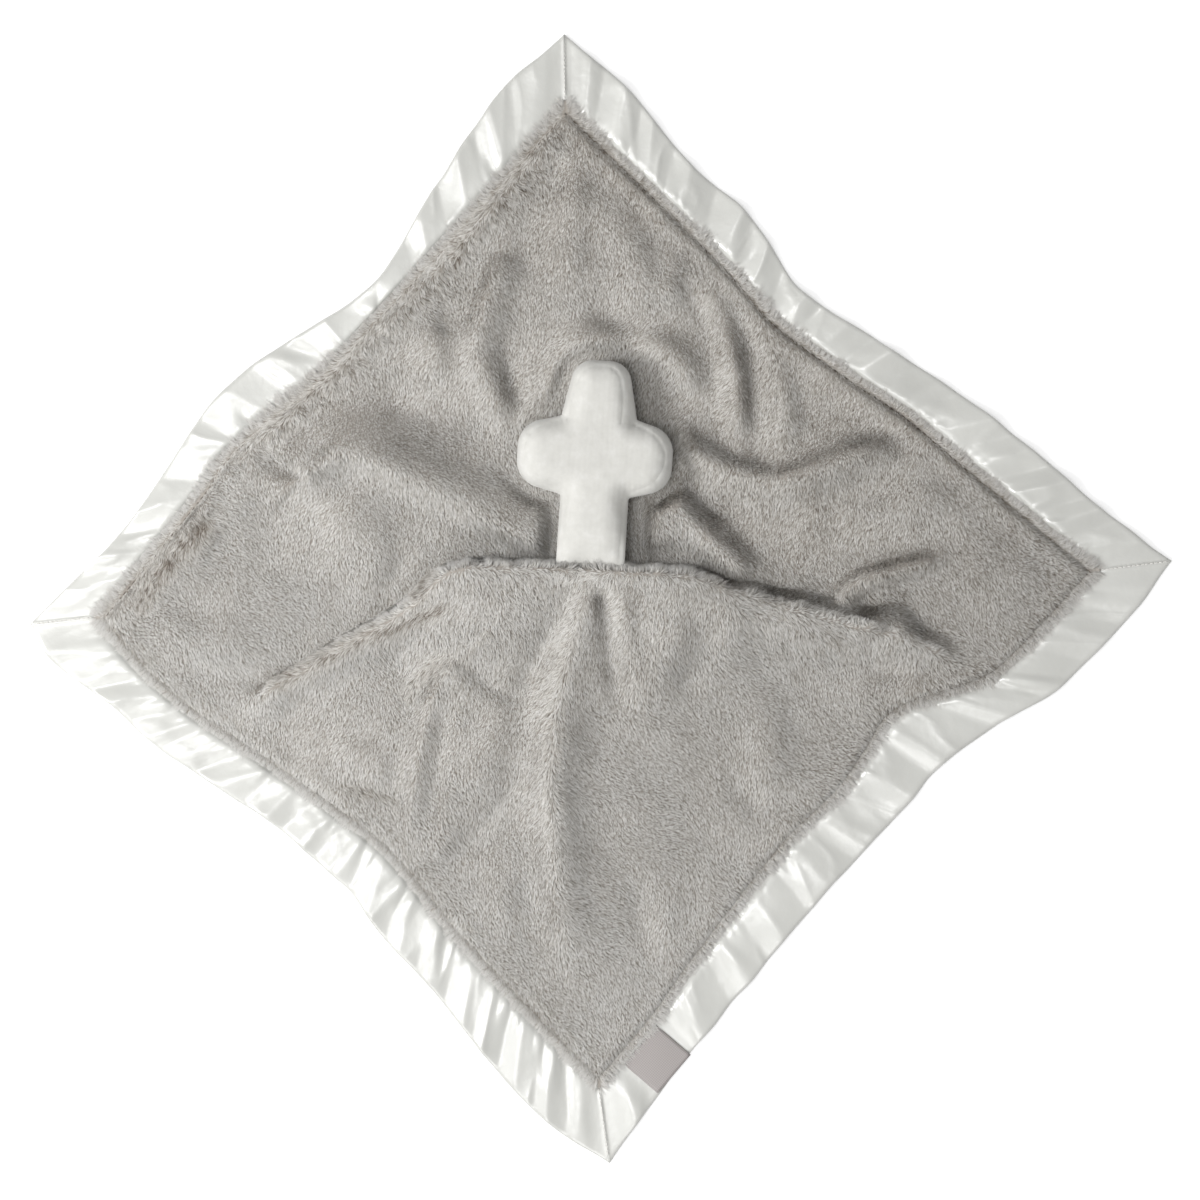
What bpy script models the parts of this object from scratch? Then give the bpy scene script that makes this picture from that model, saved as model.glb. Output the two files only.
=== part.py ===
"""Comfort blanket lovey: a square of plush edged with folded satin, with a stuffed cross sewn at its middle.

Metres, +Z up. The blanket lies on z = 0 as it was laid out: two layers of plush, the upper one rucked into
a ridge that holds the foot of the cross. The cross lies back towards +Y, and the origin is under the middle
of the outline. Plan places are shares of the panel's diagonal, measured from the panel's middle.
"""

import math

import bpy
from mathutils import Matrix, Vector
from mathutils.geometry import delaunay_2d_cdt

# The blanket in plan
PANEL_DIAGONAL = 0.498
BORDER_WIDTH = 0.0245
SEAM_DEPTH = 0.006
FLAT_BAND = 0.010
BAND_SLOPE = 0.006
STITCH_INSET = 0.0045
SIDE_STEPS = 16

# Cloth, pile included, and what the seam presses it to
PLUSH_THICKNESS = 0.003
BACK_THICKNESS = 0.003
PRESSED_THICKNESS = 0.001
SATIN_THICKNESS = 0.0004
LABEL_THICKNESS = 0.0004
THREAD_RADIUS = 0.00025
GAP = 0.0003
MERGE_DISTANCE = 0.0000001

# The ridge that holds the cross, and the smaller folds
CREST_STAND = 0.003
CREST_LEFT_REACH = 0.066
CREST_RIGHT_REACH = 0.046
WALL_RUN = 0.003
RIDGE_FRONT = 0.070
FOLD_HEIGHT = 0.011
FOLD_WIDTH = 0.015
FOLD_FADE = 0.030
FOLD_END_SHARE = 0.5
CREST_CUT_SHARES = [0.25, 0.75]
FILL_SPACING = 0.0175
FILL_CLEAR_SHARE = 0.55
ROW_CLEAR_SHARE = 0.3

# The satin's ripples
RIPPLE_HEIGHT = 0.005
RIPPLES = 8
HALFWAY_LIFT_SHARE = 1 / 3
SATIN_STEPS = 36

# The stuffed cross, measured from the seam that its foot turns on
CROSS_LENGTH = 0.097
CROSS_THICKNESS = 0.024
STEM_WIDTH = 0.035
HEAD_WIDTH = 0.037
ARM_SPAN = 0.0775
ARM_LOW_SHARE = 0.304
ARM_HIGH_SHARE = 0.701
ARM_TAPER = 0.006
TIP_ROUND_SHARE = 0.943
HEAD_RADIUS = 0.014
NOTCH_RADIUS = 0.004
FOOT_RADIUS = 0.0035
FOOT_CORNER_SHARE = 1.25
TIP_STEPS = 4
NOTCH_STEPS = 2
FOOT_STEPS = 3
FRONT_RISE = 0.0031
FRONT_TAPER_SHARE = 0.475
BACK_TAPER_SHARE = 0.746
TAPER_SHARES = [1, 0.75, 0.5]
PIPING_INSET = 0.0035
CROWN_RUN = 0.013
CROWN_RING_SHARE = 1 / 3
CROWN_STEP_SHARE = 0.6
VELOUR_THICKNESS = 0.0008
BED_MARGIN = 0.003
ZIGZAG = 0.00075
LEAN = math.radians(3.5)

# Heights in the cross run from -1, its back, through 0, its widest line, to 1, its face. The side strip's
# rows, from seam to seam, are (share of the piping inset, height).
SEAM_LEVEL_SHARE = 0.74
SIDE_SHARES = [(1, SEAM_LEVEL_SHARE), (0.28, 0.48), (0, 0), (0.28, -0.48), (1, -SEAM_LEVEL_SHARE)]

# The label
LABEL_WIDTH = 0.0254
LABEL_LENGTH = 0.0225
LABEL_PLACE_SHARE = 0.917
LABEL_SEAT_SHARE = 1 / 32
LABEL_CLEAR = 0.0009

# Corners of the plush, as shares of the diagonal, and how far the satin's corners reach past them,
# as shares of the border
CORNERS = ["left", "top", "right", "bottom"]
LEFT, TOP, RIGHT, BOTTOM = range(4)
CORNER_SHARES = [(-0.5085, -0.0186), (-0.0356, 0.4995), (0.5015, 0.0286), (-0.0015, -0.4915)]
REACH_SHARES = [(-1.286, -0.143), (-0.02, 1.347), (1.449, 0.184), (0.204, -1.51)]

# Sides, clockwise. Each table gives (place along the side, bulge outwards) as shares of the side's length.
SIDES = ["upper_left", "upper_right", "lower_right", "lower_left"]
PLUSH_BULGE_SHARES = [
    [(0.24, 0.014), (0.29, 0.022), (0.36, 0.017), (0.47, 0.0), (0.61, -0.003), (0.84, -0.003)],
    [(0.27, -0.014), (0.36, -0.022), (0.42, -0.031), (0.55, -0.021), (0.65, -0.008), (0.76, -0.006)],
    [(0.20, 0.002), (0.25, -0.017), (0.34, -0.062), (0.40, -0.053), (0.47, -0.041), (0.57, -0.044),
     (0.79, -0.021), (0.87, -0.008)],
    [(0.18, -0.007), (0.32, -0.018), (0.46, -0.036), (0.55, -0.028), (0.67, -0.012), (0.80, 0.009),
     (0.90, 0.013)],
]
SATIN_BULGE_SHARES = [
    [(0.18, -0.006), (0.37, 0.018), (0.49, -0.004), (0.58, -0.030), (0.64, -0.030), (0.76, -0.006),
     (0.89, 0.011)],
    [(0.10, 0.001), (0.23, -0.018), (0.33, -0.020), (0.43, -0.047), (0.50, -0.039), (0.61, -0.022),
     (0.75, -0.009), (0.92, -0.006)],
    [(0.07, 0.009), (0.21, 0.006), (0.29, -0.018), (0.37, -0.033), (0.46, -0.033), (0.66, -0.028),
     (0.83, -0.019), (0.92, -0.010)],
    [(0.09, 0.015), (0.20, 0.009), (0.30, -0.006), (0.40, -0.013), (0.49, -0.028), (0.62, -0.020),
     (0.76, 0.003), (0.86, 0.006), (0.95, 0.015)],
]
RIPPLE_PHASE_SHARES = [0.15, 0.4, 0.7, 0.0]

# The ridge's crest on each side of the cross: (x, y, height share, front share), outermost first
LEFT_CREST_SHARES = [
    (-0.366, -0.116, 0.0, 0.25), (-0.338, -0.094, 0.30, 0.28), (-0.301, -0.074, 0.45, 0.30),
    (-0.254, -0.045, 0.55, 0.32), (-0.197, -0.014, 0.65, 0.38), (-0.168, 0.016, 0.82, 0.60),
]
RIGHT_CREST_SHARES = [
    (0.367, -0.082, 0.0, 0.22), (0.349, -0.062, 0.30, 0.25), (0.311, -0.042, 0.50, 0.30),
    (0.254, -0.026, 0.62, 0.36), (0.160, -0.001, 0.76, 0.50), (0.117, 0.014, 0.88, 0.75),
]
ROW_SHARES = [0.07, 0.2, 0.42, 0.72]
FOOT_PLACE_SHARES = (-0.0080, 0.0429)

# The smaller folds: (height share, width share, path as shares of the diagonal)
FOLD_SHARES = [
    (0.85, 0.8, [(-0.038, -0.010), (-0.050, -0.060), (-0.055, -0.105), (-0.054, -0.165),
                 (-0.048, -0.245), (-0.038, -0.315)]),
    (0.60, 0.9, [(-0.176, -0.100), (-0.181, -0.180), (-0.193, -0.255)]),
    (1.00, 1.4, [(-0.330, 0.115), (-0.250, 0.110), (-0.190, 0.090), (-0.120, 0.050)]),
    (0.65, 0.9, [(-0.100, 0.400), (-0.121, 0.310), (-0.111, 0.210)]),
    (0.60, 1.2, [(-0.040, 0.440), (-0.025, 0.340), (-0.010, 0.275)]),
    (0.80, 1.0, [(0.075, 0.370), (0.110, 0.290), (0.128, 0.220), (0.124, 0.180)]),
    (0.55, 0.9, [(0.185, 0.270), (0.200, 0.220), (0.190, 0.175)]),
    (0.85, 0.8, [(0.088, 0.150), (0.140, 0.132), (0.200, 0.127), (0.264, 0.163), (0.330, 0.185)]),
    (0.75, 0.8, [(0.080, 0.110), (0.120, 0.079), (0.168, 0.039)]),
    (0.55, 0.7, [(0.235, 0.004), (0.258, 0.014), (0.299, 0.036), (0.322, 0.054), (0.361, 0.079)]),
    (0.50, 1.5, [(-0.430, 0.000), (-0.340, 0.000), (-0.262, 0.020)]),
    (0.40, 1.5, [(0.100, -0.040), (0.120, -0.120), (0.160, -0.200)]),
    (0.40, 1.3, [(-0.270, -0.120), (-0.200, -0.160)]),
]


def clear_scene():
    for thing in list(bpy.data.objects):
        bpy.data.objects.remove(thing)


def collection(name):
    made = bpy.data.collections.new(name)
    bpy.context.scene.collection.children.link(made)
    return made


clear_scene()
PARTS = collection("comfort_blanket_lovey")


def material(name, colour, roughness):
    made = bpy.data.materials.new(name)
    made.use_nodes = True
    shader = made.node_tree.nodes["Principled BSDF"]
    shader.inputs["Base Color"].default_value = (*colour, 1)
    shader.inputs["Roughness"].default_value = roughness
    shader.inputs["Metallic"].default_value = 0
    return made


# Small mathematics
def eased(share):
    share = min(max(share, 0), 1)
    return share * share * (3 - 2 * share)


def turned_left(way):
    return Vector((-way.y, way.x))


def read_smooth(table, place):
    """The value at a place in a table of (place, value) pairs, on a smooth curve that ends at zero."""
    knots = [(0, 0), *table, (1, 0)]
    last = len(knots) - 1
    at = next((i for i in range(last) if place <= knots[i + 1][0]), last - 1)
    (x0, y0), (x1, y1) = knots[at], knots[at + 1]
    before, after = knots[max(at - 1, 0)], knots[min(at + 2, last)]
    run = x1 - x0
    slope0 = (y1 - before[1]) / (x1 - before[0]) * run
    slope1 = (after[1] - y0) / (after[0] - x0) * run
    t = (place - x0) / run
    return (y0 * (2 * t**3 - 3 * t**2 + 1) + slope0 * (t**3 - 2 * t**2 + t)
            + y1 * (3 * t**2 - 2 * t**3) + slope1 * (t**3 - t**2))


def nearest(point, path):
    """Distance from a point to a path, how far along the path, in segments, and the side: 1 is left of it."""
    best = None
    for i, (a, b) in enumerate(zip(path, path[1:])):
        way = b - a
        share = min(max((point - a).dot(way) / way.length_squared, 0), 1)
        off = point - (a + way * share)
        if best is None or off.length < best[0]:
            best = (off.length, i + share, 1 if way.cross(off) > 0 else -1)
    return best


# The outline of the blanket. The satin's four corners centre it on the origin.
def corner_points():
    plush = [Vector(share) * PANEL_DIAGONAL for share in CORNER_SHARES]
    satin = [corner + Vector(reach) * BORDER_WIDTH for corner, reach in zip(plush, REACH_SHARES)]
    middle = Vector((satin[LEFT].x + satin[RIGHT].x, satin[TOP].y + satin[BOTTOM].y)) / 2
    return [corner - middle for corner in plush], [corner - middle for corner in satin], middle


PLUSH_CORNERS, SATIN_CORNERS, MIDDLE = corner_points()


def place_of(share):
    """A plan place given as shares of the diagonal."""
    return Vector(share[:2]) * PANEL_DIAGONAL - MIDDLE


def side_point(corners, bulge_shares, side, place):
    a, b = corners[side], corners[(side + 1) % 4]
    way = b - a
    return a + way * place + turned_left(way) * read_smooth(bulge_shares[side], place)


def plush_loop():
    """The plush's edge, clockwise from the left corner."""
    return [side_point(PLUSH_CORNERS, PLUSH_BULGE_SHARES, side, step / SIDE_STEPS)
            for side in range(4) for step in range(SIDE_STEPS)]


def inset(loop, distance):
    """A clockwise loop moved inwards, with mitred corners."""
    moved = []
    for i, point in enumerate(loop):
        inward = [-turned_left((b - a).normalized()) for a, b in
                  ((loop[i - 1], point), (point, loop[(i + 1) % len(loop)]))]
        bisector = (inward[0] + inward[1]).normalized()
        moved.append(point + bisector * distance / bisector.dot(inward[0]))
    return moved


EDGE = plush_loop()
CLOSED_EDGE = [*EDGE, EDGE[0]]

# Heights, from the table up: the back, the two layers of satin, the label, then the upper plush
SEAM_LOW = PRESSED_THICKNESS + GAP + SATIN_THICKNESS / 2
SEAM_HIGH = SEAM_LOW + GAP + SATIN_THICKNESS
FOLD_RADIUS = (SEAM_HIGH - GAP - SATIN_THICKNESS / 2) / 2
LABEL_LEVEL = SEAM_HIGH + GAP + (SATIN_THICKNESS + LABEL_THICKNESS) / 2
BAND_TOP = LABEL_LEVEL + LABEL_THICKNESS / 2 + GAP + PRESSED_THICKNESS
BED_TOP = BACK_THICKNESS + GAP + PLUSH_THICKNESS

# The cross's arms, and how far up its stem the face and the back reach full height
ARM_LOW = CROSS_LENGTH * ARM_LOW_SHARE
ARM_HIGH = CROSS_LENGTH * ARM_HIGH_SHARE
TIP_RADIUS = (ARM_HIGH - ARM_LOW - 2 * ARM_TAPER) / 2 * TIP_ROUND_SHARE
FRONT_TAPER = ARM_LOW * FRONT_TAPER_SHARE
BACK_TAPER = ARM_LOW * BACK_TAPER_SHARE

# The cross's own frame: origin on the seam that it turns on, +Y up its stem, +Z out of its face
FRONT_FULL = FOOT_RADIUS + FRONT_RISE
BACK_FULL = CROSS_THICKNESS - FRONT_FULL
HINGE_HEIGHT = BED_TOP + GAP + BACK_FULL
RIDGE_HEIGHT = HINGE_HEIGHT + CREST_STAND - BED_TOP
WALL_LEAN = WALL_RUN * (CREST_STAND + ZIGZAG + THREAD_RADIUS) / RIDGE_HEIGHT
CREST_LINE_PLACE = -FOOT_RADIUS - 2 * GAP - 2 * THREAD_RADIUS - WALL_LEAN
STUFFING_SHAVE = VELOUR_THICKNESS + GAP
CROWN_INSET = PIPING_INSET + GAP
CROSS_PLACE = (Matrix.Translation((*place_of(FOOT_PLACE_SHARES), HINGE_HEIGHT))
               @ Matrix.Rotation(-LEAN, 4, "Z"))


def from_cross(x, y):
    return (CROSS_PLACE @ Vector((x, y, 0))).xy


def rounded(corners):
    """A clockwise outline from (x, y, radius, steps) corners, with an arc at each that has a radius."""
    points = []
    for i, (x, y, radius, steps) in enumerate(corners):
        here = Vector((x, y))
        if not radius:
            points.append(here)
            continue
        back = (Vector(corners[i - 1][:2]) - here).normalized()
        ahead = (Vector(corners[(i + 1) % len(corners)][:2]) - here).normalized()
        half = back.angle(ahead) / 2
        centre = here + (back + ahead).normalized() * radius / math.sin(half)
        first = here + back * radius / math.tan(half) - centre
        last = here + ahead * radius / math.tan(half) - centre
        sweep = first.angle_signed(last)
        points += [centre + Matrix.Rotation(-sweep * step / steps, 2) @ first for step in range(steps + 1)]
    return points


def cross_outline():
    """The cross's silhouette, clockwise, with round ends and small fillets in its four notches."""
    stem, head, arm = STEM_WIDTH / 2, HEAD_WIDTH / 2, ARM_SPAN / 2
    right = [
        (head, CROSS_LENGTH, HEAD_RADIUS, TIP_STEPS),
        (head, ARM_HIGH, NOTCH_RADIUS, NOTCH_STEPS),
        (arm, ARM_HIGH - ARM_TAPER, TIP_RADIUS, TIP_STEPS),
        (arm, ARM_LOW + ARM_TAPER, TIP_RADIUS, TIP_STEPS),
        (stem, ARM_LOW, NOTCH_RADIUS, NOTCH_STEPS),
        *[(stem, BACK_TAPER * share, 0, 0) for share in TAPER_SHARES],
        (stem, -FOOT_RADIUS, CROWN_INSET * FOOT_CORNER_SHARE, FOOT_STEPS),
    ]
    left = [(-x, y, radius, steps) for x, y, radius, steps in reversed(right)]
    return rounded(right + left)


OUTLINE = cross_outline()


# The draped upper cloth
def crest_rows():
    """The ridge's crest from left to right: each row has a point, a height share and a front share.

    Each corner is cut once, so the crest bends softly. It stays straight behind the stem.
    """
    left = [Vector((*place_of(row), *row[2:])) for row in LEFT_CREST_SHARES]
    right = [Vector((*place_of(row), *row[2:])) for row in reversed(RIGHT_CREST_SHARES)]
    straight = [Vector((*from_cross(x, CREST_LINE_PLACE), 1, 1))
                for x in (-CREST_LEFT_REACH, -STEM_WIDTH, STEM_WIDTH, CREST_RIGHT_REACH)]
    rows = left + straight + right
    cuts = [a.lerp(b, share) for a, b in zip(rows, rows[1:]) for share in CREST_CUT_SHARES]
    return [rows[0], *cuts, rows[-1]]


CREST = crest_rows()
CREST_LINE = [row.xy for row in CREST]
FOLDS = [(height * FOLD_HEIGHT, width * FOLD_WIDTH, [place_of(share) for share in path])
         for height, width, path in FOLD_SHARES]


def beside(path, distance):
    """A path moved sideways: a positive distance is to its left."""
    ways = [(b - a).normalized() for a, b in zip(path, path[1:])]
    turns = [(a + b).normalized() for a, b in zip([ways[0], *ways], [*ways, ways[-1]])]
    return [point + turned_left(way) * distance for point, way in zip(path, turns)]


def front_height(point):
    """The ridge's front: the highest of the slopes that fall from the pieces of its crest."""
    best = 0
    for a, b in zip(CREST, CREST[1:]):
        way = b.xy - a.xy
        share = min(max((point - a.xy).dot(way) / way.length_squared, 0), 1)
        at = a.lerp(b, share)
        best = max(best, at.z * (1 - eased((point - at.xy).length / (RIDGE_FRONT * at.w))))
    return RIDGE_HEIGHT * best


def ridge_height(point):
    """The ridge stands up like a wall behind its crest and falls gently in front."""
    away, place, side = nearest(point, CREST_LINE)
    if side < 0:
        return front_height(point)
    if away > WALL_RUN:
        return 0
    i = min(int(place), len(CREST_LINE) - 2)
    crest = CREST_LINE[i].lerp(CREST_LINE[i + 1], place - i)
    return front_height(crest) * (1 - away / WALL_RUN)


def fold_height(point):
    """The smaller folds add up, and leave the cross its flat bed."""
    raised = 0
    for height, width, path in FOLDS:
        away, place, _ = nearest(point, path)
        end = min(place, len(path) - 1 - place)
        raised += height * math.exp(-((away / width) ** 2)) * (
            FOLD_END_SHARE + (1 - FOLD_END_SHARE) * eased(end))
    return raised


def cloth_height(point, bed):
    """How high the upper plush stands there: it lies flat under the cross and towards its edge."""
    edge = nearest(point, CLOSED_EDGE)[0]
    calm = 0 if is_inside(point, bed) else eased(nearest(point, bed)[0] / FOLD_WIDTH)
    fade = eased((edge - FLAT_BAND) / FOLD_FADE)
    return BED_TOP + fade * (ridge_height(point) + calm * fold_height(point))


def is_inside(point, loop):
    crossings = 0
    for a, b in zip(loop, loop[1:]):
        if (a.y > point.y) != (b.y > point.y):
            crossings += point.x < a.x + (b.x - a.x) * (point.y - a.y) / (b.y - a.y)
    return crossings % 2 == 1


def thinned(points, keep_off, distance):
    return [p for p in points if all((p - q).length > distance for q in keep_off)]


def triangulate(points, lines):
    """Constrained triangles over plan points. Each line is a list of indices that stay joined.

    Returns the points used, the triangles, and the first index that each point had before.
    """
    edges = [pair for line in lines for pair in zip(line, line[1:])]
    verts, _, faces, origins, *_ = delaunay_2d_cdt(points, edges, [], 1, MERGE_DISTANCE)
    return verts, faces, [min(origin, default=len(points)) for origin in origins]


def mesh_object(name, verts, faces, look, smooth=True):
    mesh = bpy.data.meshes.new(name)
    mesh.from_pydata(verts, [], faces)
    mesh.validate()
    mesh.materials.append(look)
    made = bpy.data.objects.new(name, mesh)
    PARTS.objects.link(made)
    if smooth:
        mesh.shade_smooth()
    return made


def thicken(thing, thickness, offset, weights=None):
    """Solidify, thinner where the weights are below one."""
    solid = thing.modifiers.new("thickness", "SOLIDIFY")
    solid.thickness = thickness
    solid.offset = offset
    solid.use_even_offset = False
    if weights:
        group = thing.vertex_groups.new(name="thickness")
        for i, weight in enumerate(weights):
            group.add([i], weight, "REPLACE")
        solid.vertex_group = group.name


def bed_loop():
    """Round the cross's footprint, clear of the ridge's wall."""
    wide = inset(OUTLINE, -BED_MARGIN)
    floor = CREST_LINE_PLACE + WALL_RUN + GAP
    loop = [from_cross(p.x, max(p.y, floor)) for p in wide]
    kept = [p for i, p in enumerate(loop) if (p - loop[i - 1]).length > BED_MARGIN]
    return [*kept, kept[0]]


def fill_points(keep_off):
    """An even spread over the panel, turned to its diagonal, clear of the lines that stay joined."""
    reach = int(PANEL_DIAGONAL / FILL_SPACING / 2) + 1
    row = FILL_SPACING * math.sqrt(3) / 2
    found = []
    for j in range(-reach * 2, reach * 2):
        for i in range(-reach * 2, reach * 2):
            p = Vector(((i + j % 2 / 2) * FILL_SPACING, j * row))
            if is_inside(p, CLOSED_EDGE) and nearest(p, CLOSED_EDGE)[0] > FLAT_BAND + BAND_SLOPE * 2:
                found.append(p)
    return thinned(found, keep_off, FILL_SPACING * FILL_CLEAR_SHARE)


def make_top_panel(look):
    bed = bed_loop()
    band = inset(EDGE, FLAT_BAND)
    slope = inset(EDGE, FLAT_BAND + BAND_SLOPE)
    within = [*slope, slope[0]]
    crest = [p for p in CREST_LINE if is_inside(p, within)]
    foot = [p for p in beside(CREST_LINE, WALL_RUN) if is_inside(p, within)]
    rows = [p for share in ROW_SHARES for p in beside(CREST_LINE, -RIDGE_FRONT * share)]
    groups = [EDGE, band, slope, bed[:-1], crest, foot]
    fixed = [p for group in groups for p in group]
    rows = thinned([p for p in rows if is_inside(p, within)], fixed, FILL_SPACING * ROW_CLEAR_SHARE)
    points = [*fixed, *rows, *fill_points([*fixed, *rows])]
    lines = []
    start = 0
    for group in groups:
        line = list(range(start, start + len(group)))
        start += len(group)
        lines.append(line if group in (crest, foot) else [*line, line[0]])
    plan, faces, origins = triangulate(points, lines)
    flat = [origin < len(EDGE) + len(band) for origin in origins]
    verts = [(*p, BAND_TOP if pressed else cloth_height(p, bed)) for p, pressed in zip(plan, flat)]
    panel = mesh_object("top_panel", verts, faces, look)
    pressed_share = PRESSED_THICKNESS / PLUSH_THICKNESS
    thicken(panel, PLUSH_THICKNESS, -1, [pressed_share if pressed else 1 for pressed in flat])


def make_back_panel(look):
    """Flat on the table, pressed thin where the seam holds it."""
    rings = [
        [(*p, 0) for p in EDGE],
        [(*p, PRESSED_THICKNESS) for p in EDGE],
        [(*p, PRESSED_THICKNESS) for p in inset(EDGE, FLAT_BAND)],
        [(*p, BACK_THICKNESS) for p in inset(EDGE, FLAT_BAND + BAND_SLOPE)],
    ]
    count = len(EDGE)
    faces = [list(range(count))]
    for ring in range(len(rings) - 1):
        for i in range(count):
            j = (i + 1) % count
            faces.append([ring * count + k for k in (i, i + count, j + count, j)])
    faces.append([(len(rings) - 1) * count + i for i in reversed(range(count))])
    mesh_object("back_panel", [p for ring in rings for p in ring], faces, look, smooth=False)


def grid_faces(rows, columns):
    return [[r * columns + c, r * columns + c + 1, (r + 1) * columns + c + 1, (r + 1) * columns + c]
            for r in range(rows - 1) for c in range(columns - 1)]


def satin_lines(side, place):
    """Where the strip's hidden edge, the plush's edge and the strip's outer fold lie in plan."""
    plush = side_point(PLUSH_CORNERS, PLUSH_BULGE_SHARES, side, place)
    outer = side_point(SATIN_CORNERS, SATIN_BULGE_SHARES, side, place)
    back = (plush - outer).normalized()
    return plush + back * SEAM_DEPTH, plush, outer


def ripple(side, place):
    """How far the strip lifts off the table there. It is calm at the mitres and under the label."""
    wave = (1 - math.cos(2 * math.pi * (RIPPLES * place + RIPPLE_PHASE_SHARES[side]))) / 2
    calm = eased(min(place, 1 - place) * RIPPLES)
    if SIDES[side] == "lower_right":
        away = abs(place - LABEL_PLACE_SHARE) * (SATIN_CORNERS[side] - SATIN_CORNERS[side + 1]).length
        calm *= eased((away - LABEL_WIDTH - LABEL_LENGTH) / LABEL_WIDTH)
    return RIPPLE_HEIGHT * wave * calm


def satin_section(side, place):
    """One folded section of a strip: from the lower layer's hidden edge round the fold to the upper one's."""
    hidden, plush, outer = satin_lines(side, place)
    tip = outer - (outer - plush).normalized() * FOLD_RADIUS
    halfway = (plush + tip) / 2
    lift = ripple(side, place)
    half_lift = lift * HALFWAY_LIFT_SHARE
    low_rest = GAP + SATIN_THICKNESS / 2
    lower = [(hidden, SEAM_LOW), (plush, SEAM_LOW), (halfway, (SEAM_LOW + low_rest) / 2 + half_lift),
             (tip, low_rest + lift)]
    fold = [(outer, low_rest + FOLD_RADIUS + lift)]
    upper = [(tip, SEAM_HIGH + lift), (halfway, SEAM_HIGH + half_lift),
             (plush, SEAM_HIGH), (hidden, SEAM_HIGH)]
    return [Vector((*p, z)) for p, z in lower + fold + upper]


def make_satin(side, look):
    """A strip folded double along its outer edge. Its ends stop half a gap short of the mitre."""
    length = (SATIN_CORNERS[(side + 1) % 4] - SATIN_CORNERS[side]).length
    trim = GAP / length
    sections = [satin_section(side, trim + (1 - 2 * trim) * step / SATIN_STEPS)
                for step in range(SATIN_STEPS + 1)]
    faces = grid_faces(len(sections), len(sections[0]))
    strip = mesh_object("satin_" + SIDES[side], [p for section in sections for p in section], faces, look)
    thicken(strip, SATIN_THICKNESS, 0)


def thread(name, points, look, closed=False):
    """A line of stitching as a thin tube along points."""
    curve = bpy.data.curves.new(name, "CURVE")
    curve.dimensions = "3D"
    curve.bevel_depth = THREAD_RADIUS
    curve.bevel_resolution = 0 if closed else 1
    curve.use_fill_caps = not closed
    spline = curve.splines.new("POLY")
    spline.points.add(len(points) - 1)
    for spot, point in zip(spline.points, points):
        spot.co = (*point, 1)
    spline.use_cyclic_u = closed
    curve.materials.append(look)
    made = bpy.data.objects.new(name, curve)
    PARTS.objects.link(made)
    return made


def make_edge_stitching(look):
    level = BAND_TOP + GAP + THREAD_RADIUS
    thread("edge_stitching", [Vector((*p, level)) for p in inset(EDGE, STITCH_INSET)], look, closed=True)


def make_mitre_seams(look):
    """One line of stitches across the satin at each corner, on top of the strips."""
    above = Vector((0, 0, SATIN_THICKNESS / 2 + GAP + THREAD_RADIUS))
    for side in range(4):
        section = satin_section(side, 0)
        tip, middle, plush = section[5], section[6], section[7]
        start = plush + (tip - plush).normalized() * (STITCH_INSET / 2)
        thread("mitre_seam_" + CORNERS[side], [point + above for point in (start, middle, tip)], look)


# The cross
def cross_height(y, level):
    front = FOOT_RADIUS + FRONT_RISE * eased(y / FRONT_TAPER)
    back = FOOT_RADIUS + (BACK_FULL - FOOT_RADIUS) * eased(y / BACK_TAPER)
    return (front - back) / 2 + (front + back) / 2 * level


def crown_level(depth):
    """The face rises from its seam to full height over the crown's run."""
    share = min(max(depth / CROWN_RUN, 0), 1)
    return SEAM_LEVEL_SHARE + (1 - SEAM_LEVEL_SHARE) * math.sin(share * math.pi / 2)


def crown(seam, side, cut):
    """Points and triangles of a crowned face inside its seam, with the cut shaved off its height."""
    closed = [*seam, seam[0]]
    ring_inset = CROWN_RUN * CROWN_RING_SHARE
    ring = inset(seam, ring_inset)
    ring = [p for i, p in enumerate(ring) if (p - ring[i - 1]).length > ring_inset / 2]
    step = CROWN_RUN * CROWN_STEP_SHARE
    across, along = int(ARM_SPAN / step / 2) + 1, int(CROSS_LENGTH / step) + 1
    inner = [Vector((i * step, j * step)) for i in range(-across, across + 1) for j in range(along)]
    inner = [p for p in inner if is_inside(p, closed) and nearest(p, closed)[0] > CROWN_RUN / 2]
    inner = thinned(inner, ring, step / 2)
    points = [*seam, *ring, *inner]
    plan, faces, _ = triangulate(points, [[*range(len(seam)), 0]])
    level = [crown_level(nearest(p, closed)[0]) for p in plan]
    verts = [Vector((*p, cross_height(p.y, side * height) - side * cut)) for p, height in zip(plan, level)]
    return verts, faces if side > 0 else [list(reversed(face)) for face in faces]


def under_hinge(thing, hinge):
    thing.parent = hinge
    return thing


def make_cross_panels(hinge, look):
    """The velour face and back, each a crowned sheet that stops short of the side strip."""
    for name, side in (("cross_front_panel", 1), ("cross_back_panel", -1)):
        seam = inset(OUTLINE, CROWN_INSET)
        outer, faces = crown(seam, side, 0)
        inner = [p - Vector((0, 0, side * VELOUR_THICKNESS)) for p in outer]
        count, rim = len(outer), len(seam)
        under = [[i + count for i in reversed(face)] for face in faces]
        edge = [[i, (i + 1) % rim, (i + 1) % rim + count, i + count][::side] for i in range(rim)]
        under_hinge(mesh_object(name, outer + inner, faces + under + edge, look), hinge)


def side_ring(share, level, depth):
    """A ring of the cross's side strip, or of what lies a depth inside it."""
    crown_share = level / SEAM_LEVEL_SHARE
    loop = inset(OUTLINE, PIPING_INSET * share + depth * (1 - abs(crown_share)))
    return [Vector((*p, cross_height(p.y, level) - depth * crown_share)) for p in loop]


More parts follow.
